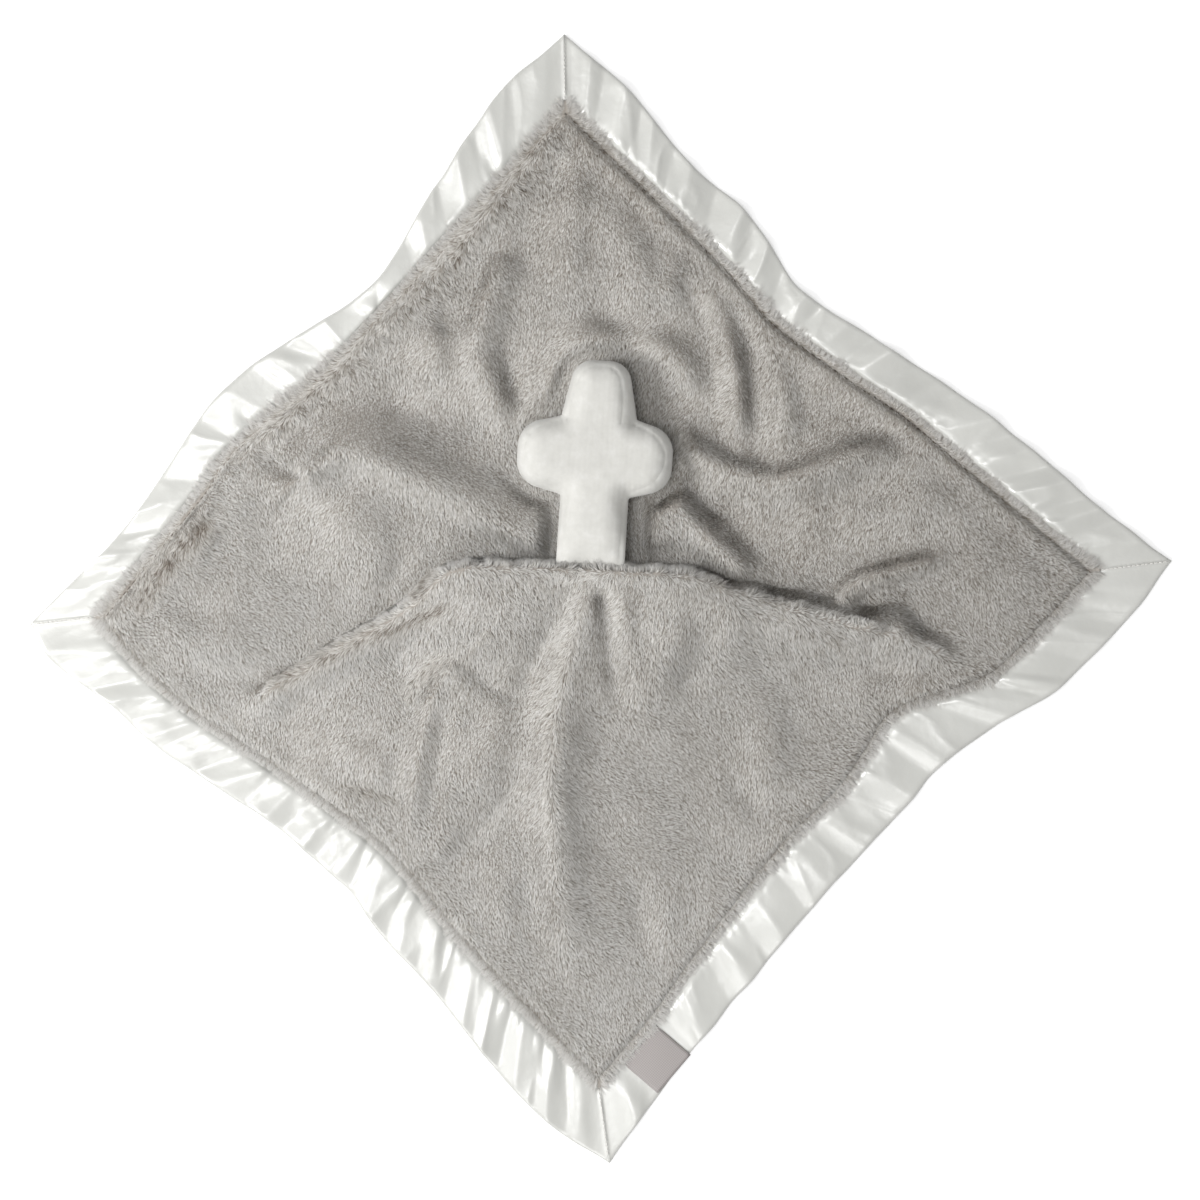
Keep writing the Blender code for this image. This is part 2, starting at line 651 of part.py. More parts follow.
def make_cross_gusset(hinge, look):
    """The strip round the cross's edge, bulging between its two seams."""
    rings = [side_ring(share, level, 0) for share, level in SIDE_SHARES]
    rings += [side_ring(share, level, VELOUR_THICKNESS) for share, level in reversed(SIDE_SHARES)]
    count, half = len(OUTLINE), len(SIDE_SHARES)
    faces = [face for i in range(len(rings))
             for face in joined_rings(i * count, (i + 1) % len(rings) * count, count, flip=i >= half)]
    under_hinge(mesh_object("cross_gusset", [p for ring in rings for p in ring], faces, look), hinge)


def joined_rings(upper, lower, count, flip=False):
    """Triangles between two rings, given by their first indices. Flip turns the other diagonal."""
    faces = []
    for i in range(count):
        j = (i + 1) % count
        a, b, c, d = upper + i, upper + j, lower + j, lower + i
        faces += [[a, b, d], [b, c, d]] if flip else [[a, b, c], [a, c, d]]
    return faces


def make_cross_stuffing(hinge, look):
    """The fibre filling: the same crowned form, inside the velour."""
    seam = inset(OUTLINE, CROWN_INSET)
    top, top_faces = crown(seam, 1, STUFFING_SHAVE)
    bottom, bottom_faces = crown(seam, -1, STUFFING_SHAVE)
    count = len(seam)
    middle = [p for share, level in SIDE_SHARES[1:-1] for p in side_ring(share, level, STUFFING_SHAVE)]
    verts = [*top, *middle, *bottom]
    faces = list(top_faces)
    faces += [[i + len(top) + len(middle) for i in face] for face in bottom_faces]
    starts = [0, *range(len(top), len(top) + len(middle), count), len(top) + len(middle)]
    for upper, lower in zip(starts, starts[1:]):
        faces += joined_rings(upper, lower, count)
    under_hinge(mesh_object("cross_stuffing", verts, faces, look), hinge)


def make_anchor_seam(look):
    """The zigzag that holds the foot of the stem to the ridge, in the groove between them."""
    groove = -FOOT_RADIUS - GAP - THREAD_RADIUS
    half = STEM_WIDTH / 2 - FOOT_RADIUS
    pitch = FOOT_RADIUS / 2
    count = int(half / pitch)
    points = [CROSS_PLACE @ Vector((i * pitch, groove, ZIGZAG if i % 2 else -ZIGZAG))
              for i in range(-count, count + 1)]
    thread("anchor_seam", points, look)


def make_label(look):
    """A flat tab that lies on the satin and turns on the edge that the seam holds."""
    side = SIDES.index("lower_right")
    before, root, after = (side_point(PLUSH_CORNERS, PLUSH_BULGE_SHARES, side, LABEL_PLACE_SHARE + shift)
                           for shift in (-LABEL_SEAT_SHARE, 0, LABEL_SEAT_SHARE))
    along = (after - before).normalized()
    outward = turned_left(along)
    origin = root + outward * (LABEL_CLEAR + LABEL_THICKNESS / 2)
    half, thick = LABEL_WIDTH / 2, LABEL_THICKNESS / 2
    corners = [Vector((x, y, z)) for y in (0, LABEL_LENGTH) for x in (-half, half) for z in (-thick, thick)]
    faces = [[0, 2, 3, 1], [4, 5, 7, 6], [0, 1, 5, 4], [2, 6, 7, 3], [0, 4, 6, 2], [1, 3, 7, 5]]
    tab = mesh_object("label", corners, faces, look, smooth=False)
    tab.matrix_world = Matrix(((along.x, outward.x, 0, origin.x), (along.y, outward.y, 0, origin.y),
                               (0, 0, 1, LABEL_LEVEL), (0, 0, 0, 1)))


def build():
    plush = material("grey_plush", (0.36, 0.34, 0.33), 0.95)
    satin = material("white_satin", (0.80, 0.79, 0.76), 0.3)
    velour = material("white_velour", (0.76, 0.75, 0.73), 0.9)
    fibre = material("polyester_fibre", (0.85, 0.85, 0.85), 1.0)
    woven = material("woven_label", (0.44, 0.42, 0.41), 0.7)
    grey_thread = material("grey_thread", (0.28, 0.26, 0.25), 0.7)
    white_thread = material("white_thread", (0.8, 0.8, 0.78), 0.6)
    make_top_panel(plush)
    make_back_panel(plush)
    for side in range(4):
        make_satin(side, satin)
    make_edge_stitching(grey_thread)
    make_mitre_seams(white_thread)
    hinge = bpy.data.objects.new("cross_hinge", None)
    hinge.matrix_world = CROSS_PLACE
    PARTS.objects.link(hinge)
    make_cross_panels(hinge, velour)
    make_cross_gusset(hinge, velour)
    make_cross_stuffing(hinge, fibre)
    make_anchor_seam(grey_thread)
    make_label(woven)


build()
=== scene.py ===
"""Looks of the comfort blanket lovey: grey mink plush with a folded satin border and a stuffed velour cross.

Metres in the part's own frame: +Z up off the table, +X to the right corner, +Y to the corner above the
cross's head. Tables of places on the blanket are in millimetres from its middle.
"""

import math

import bpy
import numpy as np
from mathutils import Matrix, Vector
from mathutils.geometry import delaunay_2d_cdt


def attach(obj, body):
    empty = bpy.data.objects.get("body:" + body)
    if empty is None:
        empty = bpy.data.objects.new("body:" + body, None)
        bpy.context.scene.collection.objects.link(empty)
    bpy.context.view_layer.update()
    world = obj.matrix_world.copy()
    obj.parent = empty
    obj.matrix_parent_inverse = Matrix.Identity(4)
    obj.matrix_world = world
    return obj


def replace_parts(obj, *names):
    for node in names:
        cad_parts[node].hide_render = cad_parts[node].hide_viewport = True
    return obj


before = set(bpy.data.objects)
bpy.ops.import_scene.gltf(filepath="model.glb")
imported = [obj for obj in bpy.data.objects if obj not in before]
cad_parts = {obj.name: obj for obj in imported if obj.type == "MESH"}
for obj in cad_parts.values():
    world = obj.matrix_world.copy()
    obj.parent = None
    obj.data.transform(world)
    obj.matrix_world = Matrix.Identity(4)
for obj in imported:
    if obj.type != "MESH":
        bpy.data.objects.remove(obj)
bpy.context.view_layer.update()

MM = 0.001
CHANCE = np.random.RandomState(4144)

# The blanket in plan: the same named sizes as the part's source
DIAGONAL = 498 * MM
BORDER = 24.5 * MM
STITCH_INSET = 4.5 * MM
SIDE_LENGTH = 352 * MM
LEFT, TOP, RIGHT, BOTTOM = range(4)
CORNERS = ["left", "top", "right", "bottom"]
CORNER_SHARES = [(-0.5085, -0.0186), (-0.0356, 0.4995), (0.5015, 0.0286), (-0.0015, -0.4915)]
REACH_SHARES = [(-1.286, -0.143), (-0.02, 1.347), (1.449, 0.184), (0.204, -1.51)]
SIDES = ["upper_left", "upper_right", "lower_right", "lower_left"]
PLUSH_BULGES = [
    [(0.24, 0.014), (0.29, 0.022), (0.36, 0.017), (0.47, 0.0), (0.61, -0.003), (0.84, -0.003)],
    [(0.27, -0.014), (0.36, -0.022), (0.42, -0.031), (0.55, -0.021), (0.65, -0.008), (0.76, -0.006)],
    [(0.20, 0.002), (0.25, -0.017), (0.34, -0.062), (0.40, -0.053), (0.47, -0.041), (0.57, -0.044),
     (0.79, -0.021), (0.87, -0.008)],
    [(0.18, -0.007), (0.32, -0.018), (0.46, -0.036), (0.55, -0.028), (0.67, -0.012), (0.80, 0.009),
     (0.90, 0.013)],
]
SATIN_BULGES = [
    [(0.18, -0.006), (0.37, 0.018), (0.49, -0.004), (0.58, -0.030), (0.64, -0.030), (0.76, -0.006),
     (0.89, 0.011)],
    [(0.10, 0.001), (0.23, -0.018), (0.33, -0.020), (0.43, -0.047), (0.50, -0.039), (0.61, -0.022),
     (0.75, -0.009), (0.92, -0.006)],
    [(0.07, 0.009), (0.21, 0.006), (0.29, -0.018), (0.37, -0.033), (0.46, -0.033), (0.66, -0.028),
     (0.83, -0.019), (0.92, -0.010)],
    [(0.09, 0.015), (0.20, 0.009), (0.30, -0.006), (0.40, -0.013), (0.49, -0.028), (0.62, -0.020),
     (0.76, 0.003), (0.86, 0.006), (0.95, 0.015)],
]

# On each side of the plush
GROOVES = [0.35, 0.75, 1.0, 0.8]    # how deep the stitching shows
RUFFLES = [1.0, 0.25, 0.15, 0.3]    # how ruffled the pile is within the stitching
ROLLS = [2.2, 1.2, 1.0, 0.9]        # how full the plush rolls beside it, in mm
FRINGES = [4.6, 3.4, 4.6, 3.0]      # how much longer its stray hairs are at the edge, in mm

# Heights
GROUND = 3.5 * MM           # the top cloth's knitted ground where it lies flat
EDGE_GROUND = 3.2 * MM      # and where the border's seam presses it
HINGE_HEIGHT = 24 * MM      # the line that the cross turns on
RIDGE = 22 * MM             # the ridge's crest above the flat cloth
SATIN_LOW = 0.6 * MM
SATIN_HIGH = 2.2 * MM

# The cross
LEAN = math.radians(3.5)
FOOT = np.array((-5.1, 21.37)) * MM
CROSS_LENGTH = 97 * MM
STEM, CROWN, HEAD = 17 * MM, 13 * MM, 18.9 * MM
LEFT_ARM, RIGHT_ARM = 39.6 * MM, 37.6 * MM
ARM_LOW, ARM_HIGH, ARM_TAPER = 29.5 * MM, 68.5 * MM, 5.5 * MM
HEAD_RADIUS, TIP_RADIUS, NOTCH_RADIUS, FOOT_RADIUS = 11 * MM, 13.5 * MM, 1.5 * MM, 3.5 * MM
TUCK, DIP = 7 * MM, 3 * MM  # how far the foot runs on under the pile of the crest, and sinks there
FRONT_FULL, BACK_FULL = 6.6 * MM, 17.4 * MM
FRONT_TAPER, BACK_TAPER = 14 * MM, 22 * MM
PILLOW_RUN = 13 * MM        # how far in from its edge the stuffed form reaches full height
NOTCHES = [(-17.3, 29.5), (17.3, 29.5), (-19, 68.5), (19, 68.5)]

# The label
LABEL_WIDTH, LABEL_LENGTH = 25.4 * MM, 22.5 * MM
LABEL_PLACE = 0.917         # its place along the lower right side
LABEL_LEVEL = 2.9 * MM

# The ridge's crest, left to right: (x, y, height share, run in front, run behind)
CREST = [
    (-182, -58, 0.0, 14, 9), (-168, -47, 0.22, 16, 8), (-150, -37, 0.36, 17, 7), (-127, -22, 0.46, 19, 6),
    (-98, -7, 0.58, 24, 5), (-84, 8, 0.8, 40, 4), (-70, 17, 1.0, 66, 3), (-40, 16, 1.0, 70, 2.6),
    (31, 13, 1.0, 70, 3), (46, 12, 0.97, 62, 4.5), (60, 5, 0.86, 52, 7), (80, -1, 0.76, 42, 10),
    (126, -13, 0.62, 22, 13), (154, -21, 0.5, 16, 12), (174, -31, 0.28, 12, 10), (184, -42, 0.0, 10, 9),
]

# Folds: (height, width to the left of the path, width to its right, path)
FOLDS = [
    (7.5, 11, 7, [(-6, 4), (-14, -21), (-20, -46), (-24, -73), (-26, -101), (-22, -136), (-18, -176)]),
    (3.5, 5, 6, [(10, 4), (12, -21), (20, -51)]),
    (-4.0, 3.5, 5, [(1, 12), (4, -7), (6, -26), (10, -51)]),
    (-3.5, 5, 6, [(-12, 10), (-18, -7), (-30, -26), (-40, -46)]),
    (7.0, 18, 5, [(-70, -30), (-82, -44), (-88, -68), (-92, -91), (-98, -131)]),
    (-3.5, 4, 7, [(-76, -50), (-80, -70), (-84, -96), (-90, -126)]),
    (3.5, 9, 10, [(-48, -46), (-56, -71), (-66, -101)]),
    (-3.0, 5, 5, [(-38, -91), (-52, -112), (-82, -135)]),
    (3.0, 8, 8, [(-44, -126), (-52, -151), (-46, -181)]),
    (-2.5, 6, 6, [(-128, -95), (-114, -98), (-102, -99)]),
    (4.0, 8, 10, [(-136, -73), (-116, -81), (-108, -101)]),
    (9.5, 4.5, 15, [(-26, 23), (-50, 37), (-76, 51), (-100, 63), (-124, 74), (-144, 68), (-150, 61)]),
    (-4.5, 5, 5, [(-174, 79), (-164, 68), (-152, 64), (-136, 81)]),
    (4.0, 6, 6, [(-174, 73), (-182, 58), (-184, 46)]),
    (4.0, 12, 12, [(-134, 49), (-114, 27), (-112, 4)]),
    (-3.2, 6, 7, [(-102, 19), (-104, 4), (-110, -7)]),
    (6.0, 7, 6, [(-195, 40), (-208, 26), (-222, 12), (-232, -2)]),
    (-3.0, 5, 5, [(-190, 38), (-188, 25), (-196, 16)]),
    (3.5, 10, 12, [(-226, -15), (-202, -21), (-182, -28)]),
    (-3.0, 6, 5, [(-208, -35), (-184, -35), (-170, -40)]),
    (6.5, 9, 5, [(-50, 174), (-56, 151), (-64, 127), (-56, 107), (-49, 89)]),
    (-3.0, 5, 7, [(-40, 134), (-42, 113), (-40, 95)]),
    (3.2, 7, 7, [(-86, 138), (-82, 123), (-88, 110)]),
    (-3.0, 5, 5, [(-80, 149), (-78, 140), (-80, 133)]),
    (-2.6, 5, 7, [(-108, 106), (-80, 94), (-60, 86)]),
    (-3.5, 6, 6, [(-22, 232), (-26, 209), (-34, 189), (-36, 171)]),
    (3.5, 8, 8, [(-10, 214), (-16, 184), (-13, 154)]),
    (3.0, 9, 9, [(6, 194), (20, 168), (26, 146)]),
    (-2.6, 7, 7, [(-6, 149), (8, 139), (20, 123)]),
    (5.0, 6, 8, [(50, 103), (34, 123), (8, 131), (-14, 126), (-30, 101)]),
    (5.5, 7, 4.5, [(44, 168), (54, 154), (62, 134), (68, 109), (68, 81)]),
    (-3.5, 4, 5, [(72, 149), (77, 124), (78, 81)]),
    (4.0, 6, 6, [(84, 129), (92, 107), (90, 76)]),
    (-3.0, 5, 5, [(48, 163), (52, 149), (58, 129)]),
    (3.6, 6, 5, [(36, 179), (38, 165), (34, 149)]),
    (8.0, 6, 8, [(26, 87), (44, 73), (70, 61), (92, 58), (118, 70), (150, 79)]),
    (-4.5, 4, 5, [(36, 69), (44, 57), (54, 47), (70, 47)]),
    (8.5, 7, 7, [(34, 56), (40, 43), (58, 25), (74, 11)]),
    (6.0, 9, 3.5, [(21, 60), (26, 49), (28, 39), (27, 24)]),
    (-3.0, 5, 6, [(50, 9), (70, 3), (94, -1)]),
    (6.8, 4.5, 3, [(120, -4), (122, 4), (132, 10), (148, 14), (168, 19)]),
    (6.0, 4, 4, [(130, -15), (142, -6), (154, -15)]),
    (3.2, 8, 8, [(130, 38), (158, 48), (178, 58)]),
    (2.5, 12, 12, [(180, 9), (204, 4), (220, 14)]),
    (-5.0, 5, 5, [(138, -35), (154, -41), (180, -41)]),
    (4.0, 7, 6, [(140, -46), (134, -57), (130, -73)]),
    (-2.6, 7, 8, [(56, -12), (48, -28), (38, -51)]),
    (4.0, 11, 10, [(36, -7), (32, -31), (24, -56)]),
    (-2.2, 5, 6, [(66, -90), (72, -99), (80, -104)]),
    (2.2, 9, 9, [(80, -51), (86, -71), (86, -89)]),
    (-2.4, 5, 6, [(18, -148), (22, -163), (26, -181)]),
    (2.6, 8, 10, [(32, -141), (36, -166), (34, -191)]),
    (2.2, 10, 10, [(-6, -151), (2, -181), (2, -206)]),
]

# Where the pile parts and shows its darker roots: (reach, depth share, path)
PARTINGS = [
    (6.0, 0.5, [(-94, -5), (-84, 6), (-70, 7), (-60, 11), (-46, 12), (-34, 10), (-24, 7), (-14, 8),
                 (-8, 6), (-2, 9), (6, 11), (22, 9), (38, 7), (48, 3), (63, -5)]),
    (7.0, 0.5, [(63, -5), (80, -10), (106, -17), (130, -24)]),
    (7.0, 0.7, [(-22, 231), (-53, 195), (-84, 158), (-118, 124), (-153, 93), (-183, 64)]),
    (3.6, 1.0, [(-73, -1), (-93, -10), (-118, -19), (-142, -32), (-168, -46)]),
    (3.6, 1.0, [(-82, 16), (-86, 7), (-94, -2)]),
    (5.0, 0.7, [(-8, 5), (-14, -19), (-20, -43), (-24, -73), (-25, -101), (-20, -126)]),
    (5.0, 0.35, [(-20, -126), (-14, -151), (-18, -181)]),
    (5.0, 0.85, [(-64, -32), (-78, -30), (-90, -38), (-98, -52)]),
    (5.5, 1.0, [(-195, 40), (-206, 29), (-214, 21), (-226, 5), (-233, -7)]),
    (4.5, 0.6, [(-150, 63), (-140, 71), (-128, 73)]),
    (5.0, 0.35, [(-128, 73), (-100, 62), (-76, 50), (-50, 37)]),
    (4.5, 0.6, [(-44, 87), (-34, 91), (-22, 95)]),
    (4.5, 0.5, [(-38, -91), (-52, -112), (-66, -124)]),
    (4.5, 0.6, [(20, 89), (36, 84), (50, 73), (74, 62), (92, 66)]),
    (4.5, 0.35, [(92, 66), (118, 76), (138, 80)]),
    (3.2, 0.85, [(23, 54), (26, 45), (27, 34)]),
    (4.0, 0.7, [(122, -4), (122, 3), (130, 8), (144, 12)]),
    (4.0, 0.6, [(132, -17), (142, -7), (150, -10)]),
    (3.6, 0.9, [(-132, -93), (-114, -96), (-98, -103)]),
    (4.5, 0.45, [(132, -46), (130, -54), (128, -63)]),
    (4.5, 0.5, [(92, 111), (94, 94), (90, 76)]),
    (4.0, 0.5, [(78, 139), (86, 124), (90, 113)]),
    (4.0, 0.4, [(-50, 168), (-66, 156), (-78, 149)]),
    (4.5, 0.4, [(-182, 59), (-188, 44), (-194, 39)]),
    (4.0, 0.45, [(-206, -29), (-190, -32), (-172, -39)]),
]


# Small mathematics
def eased(share):
    share = np.clip(share, 0, 1)
    return share * share * (3 - 2 * share)


def unit(vectors):
    return vectors / np.maximum(np.linalg.norm(vectors, axis=-1, keepdims=True), 1e-12)


def bell(away, width):
    return np.exp(-((away / width) ** 2))


LATTICE = 97                # cells before a random field repeats
SEED_SHIFT = 1.37           # how far each seed's field is moved, in cells


def wander(plan, size, seed):
    """A smooth random value from -1 to 1 at each plan point, with bumps of that size in mm."""
    lattice = np.random.RandomState(seed).uniform(-1, 1, (LATTICE, LATTICE))
    spot = plan / (size * MM) + seed * SEED_SHIFT
    cell = np.floor(spot).astype(int)
    part = eased(spot - cell)
    (i, j), (s, t) = cell.T % LATTICE, part.T
    i1, j1 = (i + 1) % LATTICE, (j + 1) % LATTICE
    low = lattice[i, j] * (1 - s) + lattice[i1, j] * s
    high = lattice[i, j1] * (1 - s) + lattice[i1, j1] * s
    return low * (1 - t) + high * t


def wander_along(run, size, seed, row=0):
    return wander(np.column_stack([run, np.full(len(run), row)]), size, seed)


def closed(loop):
    return np.vstack([loop, loop[:1]])


def read_smooth(table, place):
    """The values at places along a side, on a smooth curve through the table that ends at zero."""
    x, y = np.array([(0, 0), *table, (1, 0)]).T
    slope = np.empty_like(y)
    slope[1:-1] = (y[2:] - y[:-2]) / (x[2:] - x[:-2])
    slope[[0, -1]] = (y[1] - y[0]) / (x[1] - x[0]), (y[-1] - y[-2]) / (x[-1] - x[-2])
    at = np.clip(np.searchsorted(x, place, side="right") - 1, 0, len(x) - 2)
    run = x[at + 1] - x[at]
    t = (place - x[at]) / run
    return (y[at] * (2 * t**3 - 3 * t**2 + 1) + slope[at] * run * (t**3 - 2 * t**2 + t)
            + y[at + 1] * (3 * t**2 - 2 * t**3) + slope[at + 1] * run * (t**3 - t**2))


def softened(path, cuts=2):
    """A path of rows with its corners cut, so that it bends softly."""
    rows = np.array(path, float)
    for _ in range(cuts):
        quarter, late = rows[:-1] * 0.75 + rows[1:] * 0.25, rows[:-1] * 0.25 + rows[1:] * 0.75
        between = np.stack([quarter, late], 1).reshape(-1, rows.shape[1])
        rows = np.vstack([rows[:1], between, rows[-1:]])
    return rows


def near(plan, path):
    """For each point: how far off a path is, its nearest place, how far along, and the side, 1 for left."""
    away, along = np.full(len(plan), np.inf), np.zeros(len(plan))
    spot, side = np.zeros((len(plan), 2)), np.ones(len(plan))
    for i, (a, b) in enumerate(zip(path[:-1, :2], path[1:, :2])):
        way = b - a
        share = np.clip((plan - a) @ way / max(way @ way, 1e-12), 0, 1)
        at = a + share[:, None] * way
        off = plan - at
        far = np.hypot(*off.T)
        closer = far < away
        away[closer], along[closer], spot[closer] = far[closer], (i + share)[closer], at[closer]
        side[closer] = np.where(way[0] * off[:, 1] > way[1] * off[:, 0], 1, -1)[closer]
    return away, spot, along, side


def inside(plan, loop):
    crossings = np.zeros(len(plan), int)
    for a, b in zip(loop, np.roll(loop, -1, axis=0)):
        if a[1] != b[1]:
            reach = a[0] + (b[0] - a[0]) * (plan[:, 1] - a[1]) / (b[1] - a[1])
            crossings += ((a[1] > plan[:, 1]) != (b[1] > plan[:, 1])) & (plan[:, 0] < reach)
    return crossings % 2 == 1


# The outline of the blanket
PLUSH_CORNERS = np.array(CORNER_SHARES) * DIAGONAL
SATIN_CORNERS = PLUSH_CORNERS + np.array(REACH_SHARES) * BORDER
MIDDLE = np.array((SATIN_CORNERS[LEFT, 0] + SATIN_CORNERS[RIGHT, 0],
                   SATIN_CORNERS[TOP, 1] + SATIN_CORNERS[BOTTOM, 1])) / 2
PLUSH_CORNERS, SATIN_CORNERS = PLUSH_CORNERS - MIDDLE, SATIN_CORNERS - MIDDLE


def side_points(corners, bulges, side, place):
    a, b = corners[side], corners[(side + 1) % 4]
    way = b - a
    return a + way * place[:, None] + np.array((-way[1], way[0])) * read_smooth(bulges[side], place)[:, None]


def plush_edge(steps=48):
    """The plush's edge, clockwise from the left corner, and closed."""
    place = np.arange(steps) / steps
    return closed(np.vstack([side_points(PLUSH_CORNERS, PLUSH_BULGES, side, place) for side in range(4)]))


EDGE = plush_edge()


def inset(loop, distance):
    """A clockwise loop moved inwards, with mitred corners."""
    def inward(way):
        return unit(np.stack([way[:, 1], -way[:, 0]], 1))
    back, ahead = inward(loop - np.roll(loop, 1, 0)), inward(np.roll(loop, -1, 0) - loop)
    bisector = unit(back + ahead)
    return loop + bisector * distance / (bisector * back).sum(1, keepdims=True)


# Where the label is sewn in
LABEL_SIDE = SIDES.index("lower_right")
LABEL_BEFORE, LABEL_ROOT, LABEL_AFTER = side_points(PLUSH_CORNERS, PLUSH_BULGES, LABEL_SIDE,
                                                    LABEL_PLACE + np.array((-1, 0, 1)) / 32)
LABEL_ALONG = unit(LABEL_AFTER - LABEL_BEFORE)
LABEL_OUT = np.array((-LABEL_ALONG[1], LABEL_ALONG[0]))


# The cross's outline, in its own frame: origin on the seam that it turns on, +Y up its stem
def from_cross(plan):
    c, s = math.cos(LEAN), math.sin(LEAN)
    return plan @ np.array(((c, -s), (s, c))) + FOOT


def rounded(corners):
    """A clockwise outline from (x, y, radius, steps) corners, with an arc at each."""
    places = []
    for i, (x, y, radius, steps) in enumerate(corners):
        here = np.array((x, y))
        back = unit(np.array(corners[i - 1][:2]) - here)
        ahead = unit(np.array(corners[(i + 1) % len(corners)][:2]) - here)
        half = math.acos(np.clip(back @ ahead, -1, 1)) / 2
        centre = here + unit(back + ahead) * radius / math.sin(half)
        first = here + back * radius / math.tan(half) - centre
        last = here + ahead * radius / math.tan(half) - centre
        sweep = math.atan2(first[0] * last[1] - first[1] * last[0], first @ last)
        for step in range(steps + 1):
            c, s = math.cos(sweep * step / steps), math.sin(sweep * step / steps)
            places.append(centre + np.array((c * first[0] - s * first[1], s * first[0] + c * first[1])))
    return places


def evenly(loop, spacing):
    """A closed loop with more points, none further apart than the spacing."""
    places = []
    for a, b in zip(loop, np.roll(loop, -1, axis=0)):
        steps = max(int(math.ceil(np.hypot(*(b - a)) / spacing)), 1)
        places += [a + (b - a) * k / steps for k in range(steps)]
    return np.array(places)


def cross_outline():
    def half(arm):
        return [(CROWN, CROSS_LENGTH, HEAD_RADIUS, 12), (HEAD, ARM_HIGH, NOTCH_RADIUS, 4),
                (arm, ARM_HIGH - ARM_TAPER, TIP_RADIUS, 14), (arm, ARM_LOW + ARM_TAPER, TIP_RADIUS, 14),
                (STEM, ARM_LOW, NOTCH_RADIUS, 4), (STEM, -TUCK, FOOT_RADIUS, 5)]
    left = [(-x, y, radius, steps) for x, y, radius, steps in reversed(half(LEFT_ARM))]
    return evenly(np.array(rounded(half(RIGHT_ARM) + left)), 1.4 * MM)


CROSS = cross_outline()


# Nodes and materials
WAVE_TURN = 6.283           # how much closer a wave texture's bands are than its scale says
RAMP_MIDDLE = 0.5


def colour(code):
    """An sRGB hex value as a linear colour."""
    channels = [int(code[i:i + 2], 16) / 255 for i in (1, 3, 5)]
    return (*(c / 12.92 if c <= 0.04045 else ((c + 0.055) / 1.055) ** 2.4 for c in channels), 1)


def add(tree, kind, inputs=(), stops=(), **settings):
    """Adds a node with its settings. Its inputs are values or sockets to link, its stops (place, colour)."""
    made = tree.nodes.new("ShaderNode" + kind)
    for name, value in settings.items():
        setattr(made, name, value)
    for key, value in dict(inputs).items():
        if isinstance(value, bpy.types.NodeSocket):
            tree.links.new(value, made.inputs[key])
        else:
            made.inputs[key].default_value = value
    for _ in stops[2:]:
        made.color_ramp.elements.new(RAMP_MIDDLE)
    for k, (place, tint) in enumerate(stops):
        made.color_ramp.elements[k].position = place
        made.color_ramp.elements[k].color = colour(tint)
    return made


def speckled(tree, place, size, detail, **inputs):
    """A noise texture's value, its spots so many millimetres across."""
    values = {"Vector": place, "Scale": 1 / (size * MM), "Detail": detail, **inputs}
    return add(tree, "TexNoise", values).outputs["Fac"]


def banded(tree, place, apart, inputs=(), **settings):
    """A wave texture's value, its bands so many millimetres apart."""
    scale = 1 / (apart * MM) / WAVE_TURN
    return add(tree, "TexWave", {"Vector": place, "Scale": scale, **dict(inputs)}, **settings).outputs["Fac"]


def tint_by(tree, shader, value, stops):
    tree.links.new(add(tree, "ValToRGB", {"Fac": value}, stops).outputs["Color"], shader.inputs["Base Color"])


def bump_by(tree, shader, value, distance, strength):
    bump = add(tree, "Bump", {"Height": value, "Distance": distance * MM, "Strength": strength})
    tree.links.new(bump.outputs["Normal"], shader.inputs["Normal"])


def material(name, plain, sockets):
    """A material whose shader has these constant values, and a plain colour where no node drives it."""
    made = bpy.data.materials.new(name)
    made.use_nodes = True
    tree = made.node_tree
    shader = tree.nodes["Principled BSDF"]
    shader.inputs["Base Color"].default_value = colour(plain)
    for key, value in sockets.items():
        shader.inputs[key].default_value = value
    return made, tree, shader


def textured(name, plain, sockets):
    """A material, and the place on the piece that its textures read."""
    made, tree, shader = material(name, plain, sockets)
    return made, tree, shader, add(tree, "TexCoord").outputs["Object"]


def mink_pile(roots, middle, tips):
    """Polyester mink pile on a warp knit. Each hair runs from dark roots to pale tips: partly the fibre's own
    colour, partly painted shade between the hairs and painted light where the tips catch it.
    """
    made, tree, shader = material("mink_pile", middle, {"Roughness": 0.75, "Sheen Weight": 0.25,
                                                        "Sheen Roughness": 0.5, "Specular IOR Level": 0.25})
    places = add(tree, "SeparateXYZ", {0: add(tree, "UVMap", uv_map="OFBake").outputs["UV"]})
    # Roots to tips: the dark roots are partly painted shade between the hairs, the pale tips partly painted
    # light
    along = add(tree, "ValToRGB", {"Fac": places.outputs["Y"]}, [(0.0, roots), (0.45, middle), (1.0, tips)])
    tone = add(tree, "ValToRGB", {"Fac": places.outputs["X"]},
               [(0.0, "#877a6f"), (0.3, "#d0ccc6"), (0.55, "#efedea"), (1.0, "#ffffff")])
    both = add(tree, "Mix", {0: 1.0, 6: along.outputs["Color"], 7: tone.outputs["Color"]}, data_type="RGBA",
               blend_type="MULTIPLY")
    tree.links.new(both.outputs[2], shader.inputs["Base Color"])
    return made


def knit_ground():
    """The pile's knitted ground, matt and darker, shows where the hairs part. Knitted ribs 1.1 mm apart."""
    made, tree, shader, place = textured("mink_knit_ground", "#a19b94",
                                         {"Roughness": 0.95, "Sheen Weight": 0.1})
    tint_by(tree, shader, speckled(tree, place, 14, 4.0), [(0.3, "#979189"), (0.7, "#aba59e")])
    bump_by(tree, shader, banded(tree, place, 1.1, {"Distortion": 1.2}), 0.2, 0.5)
    return made


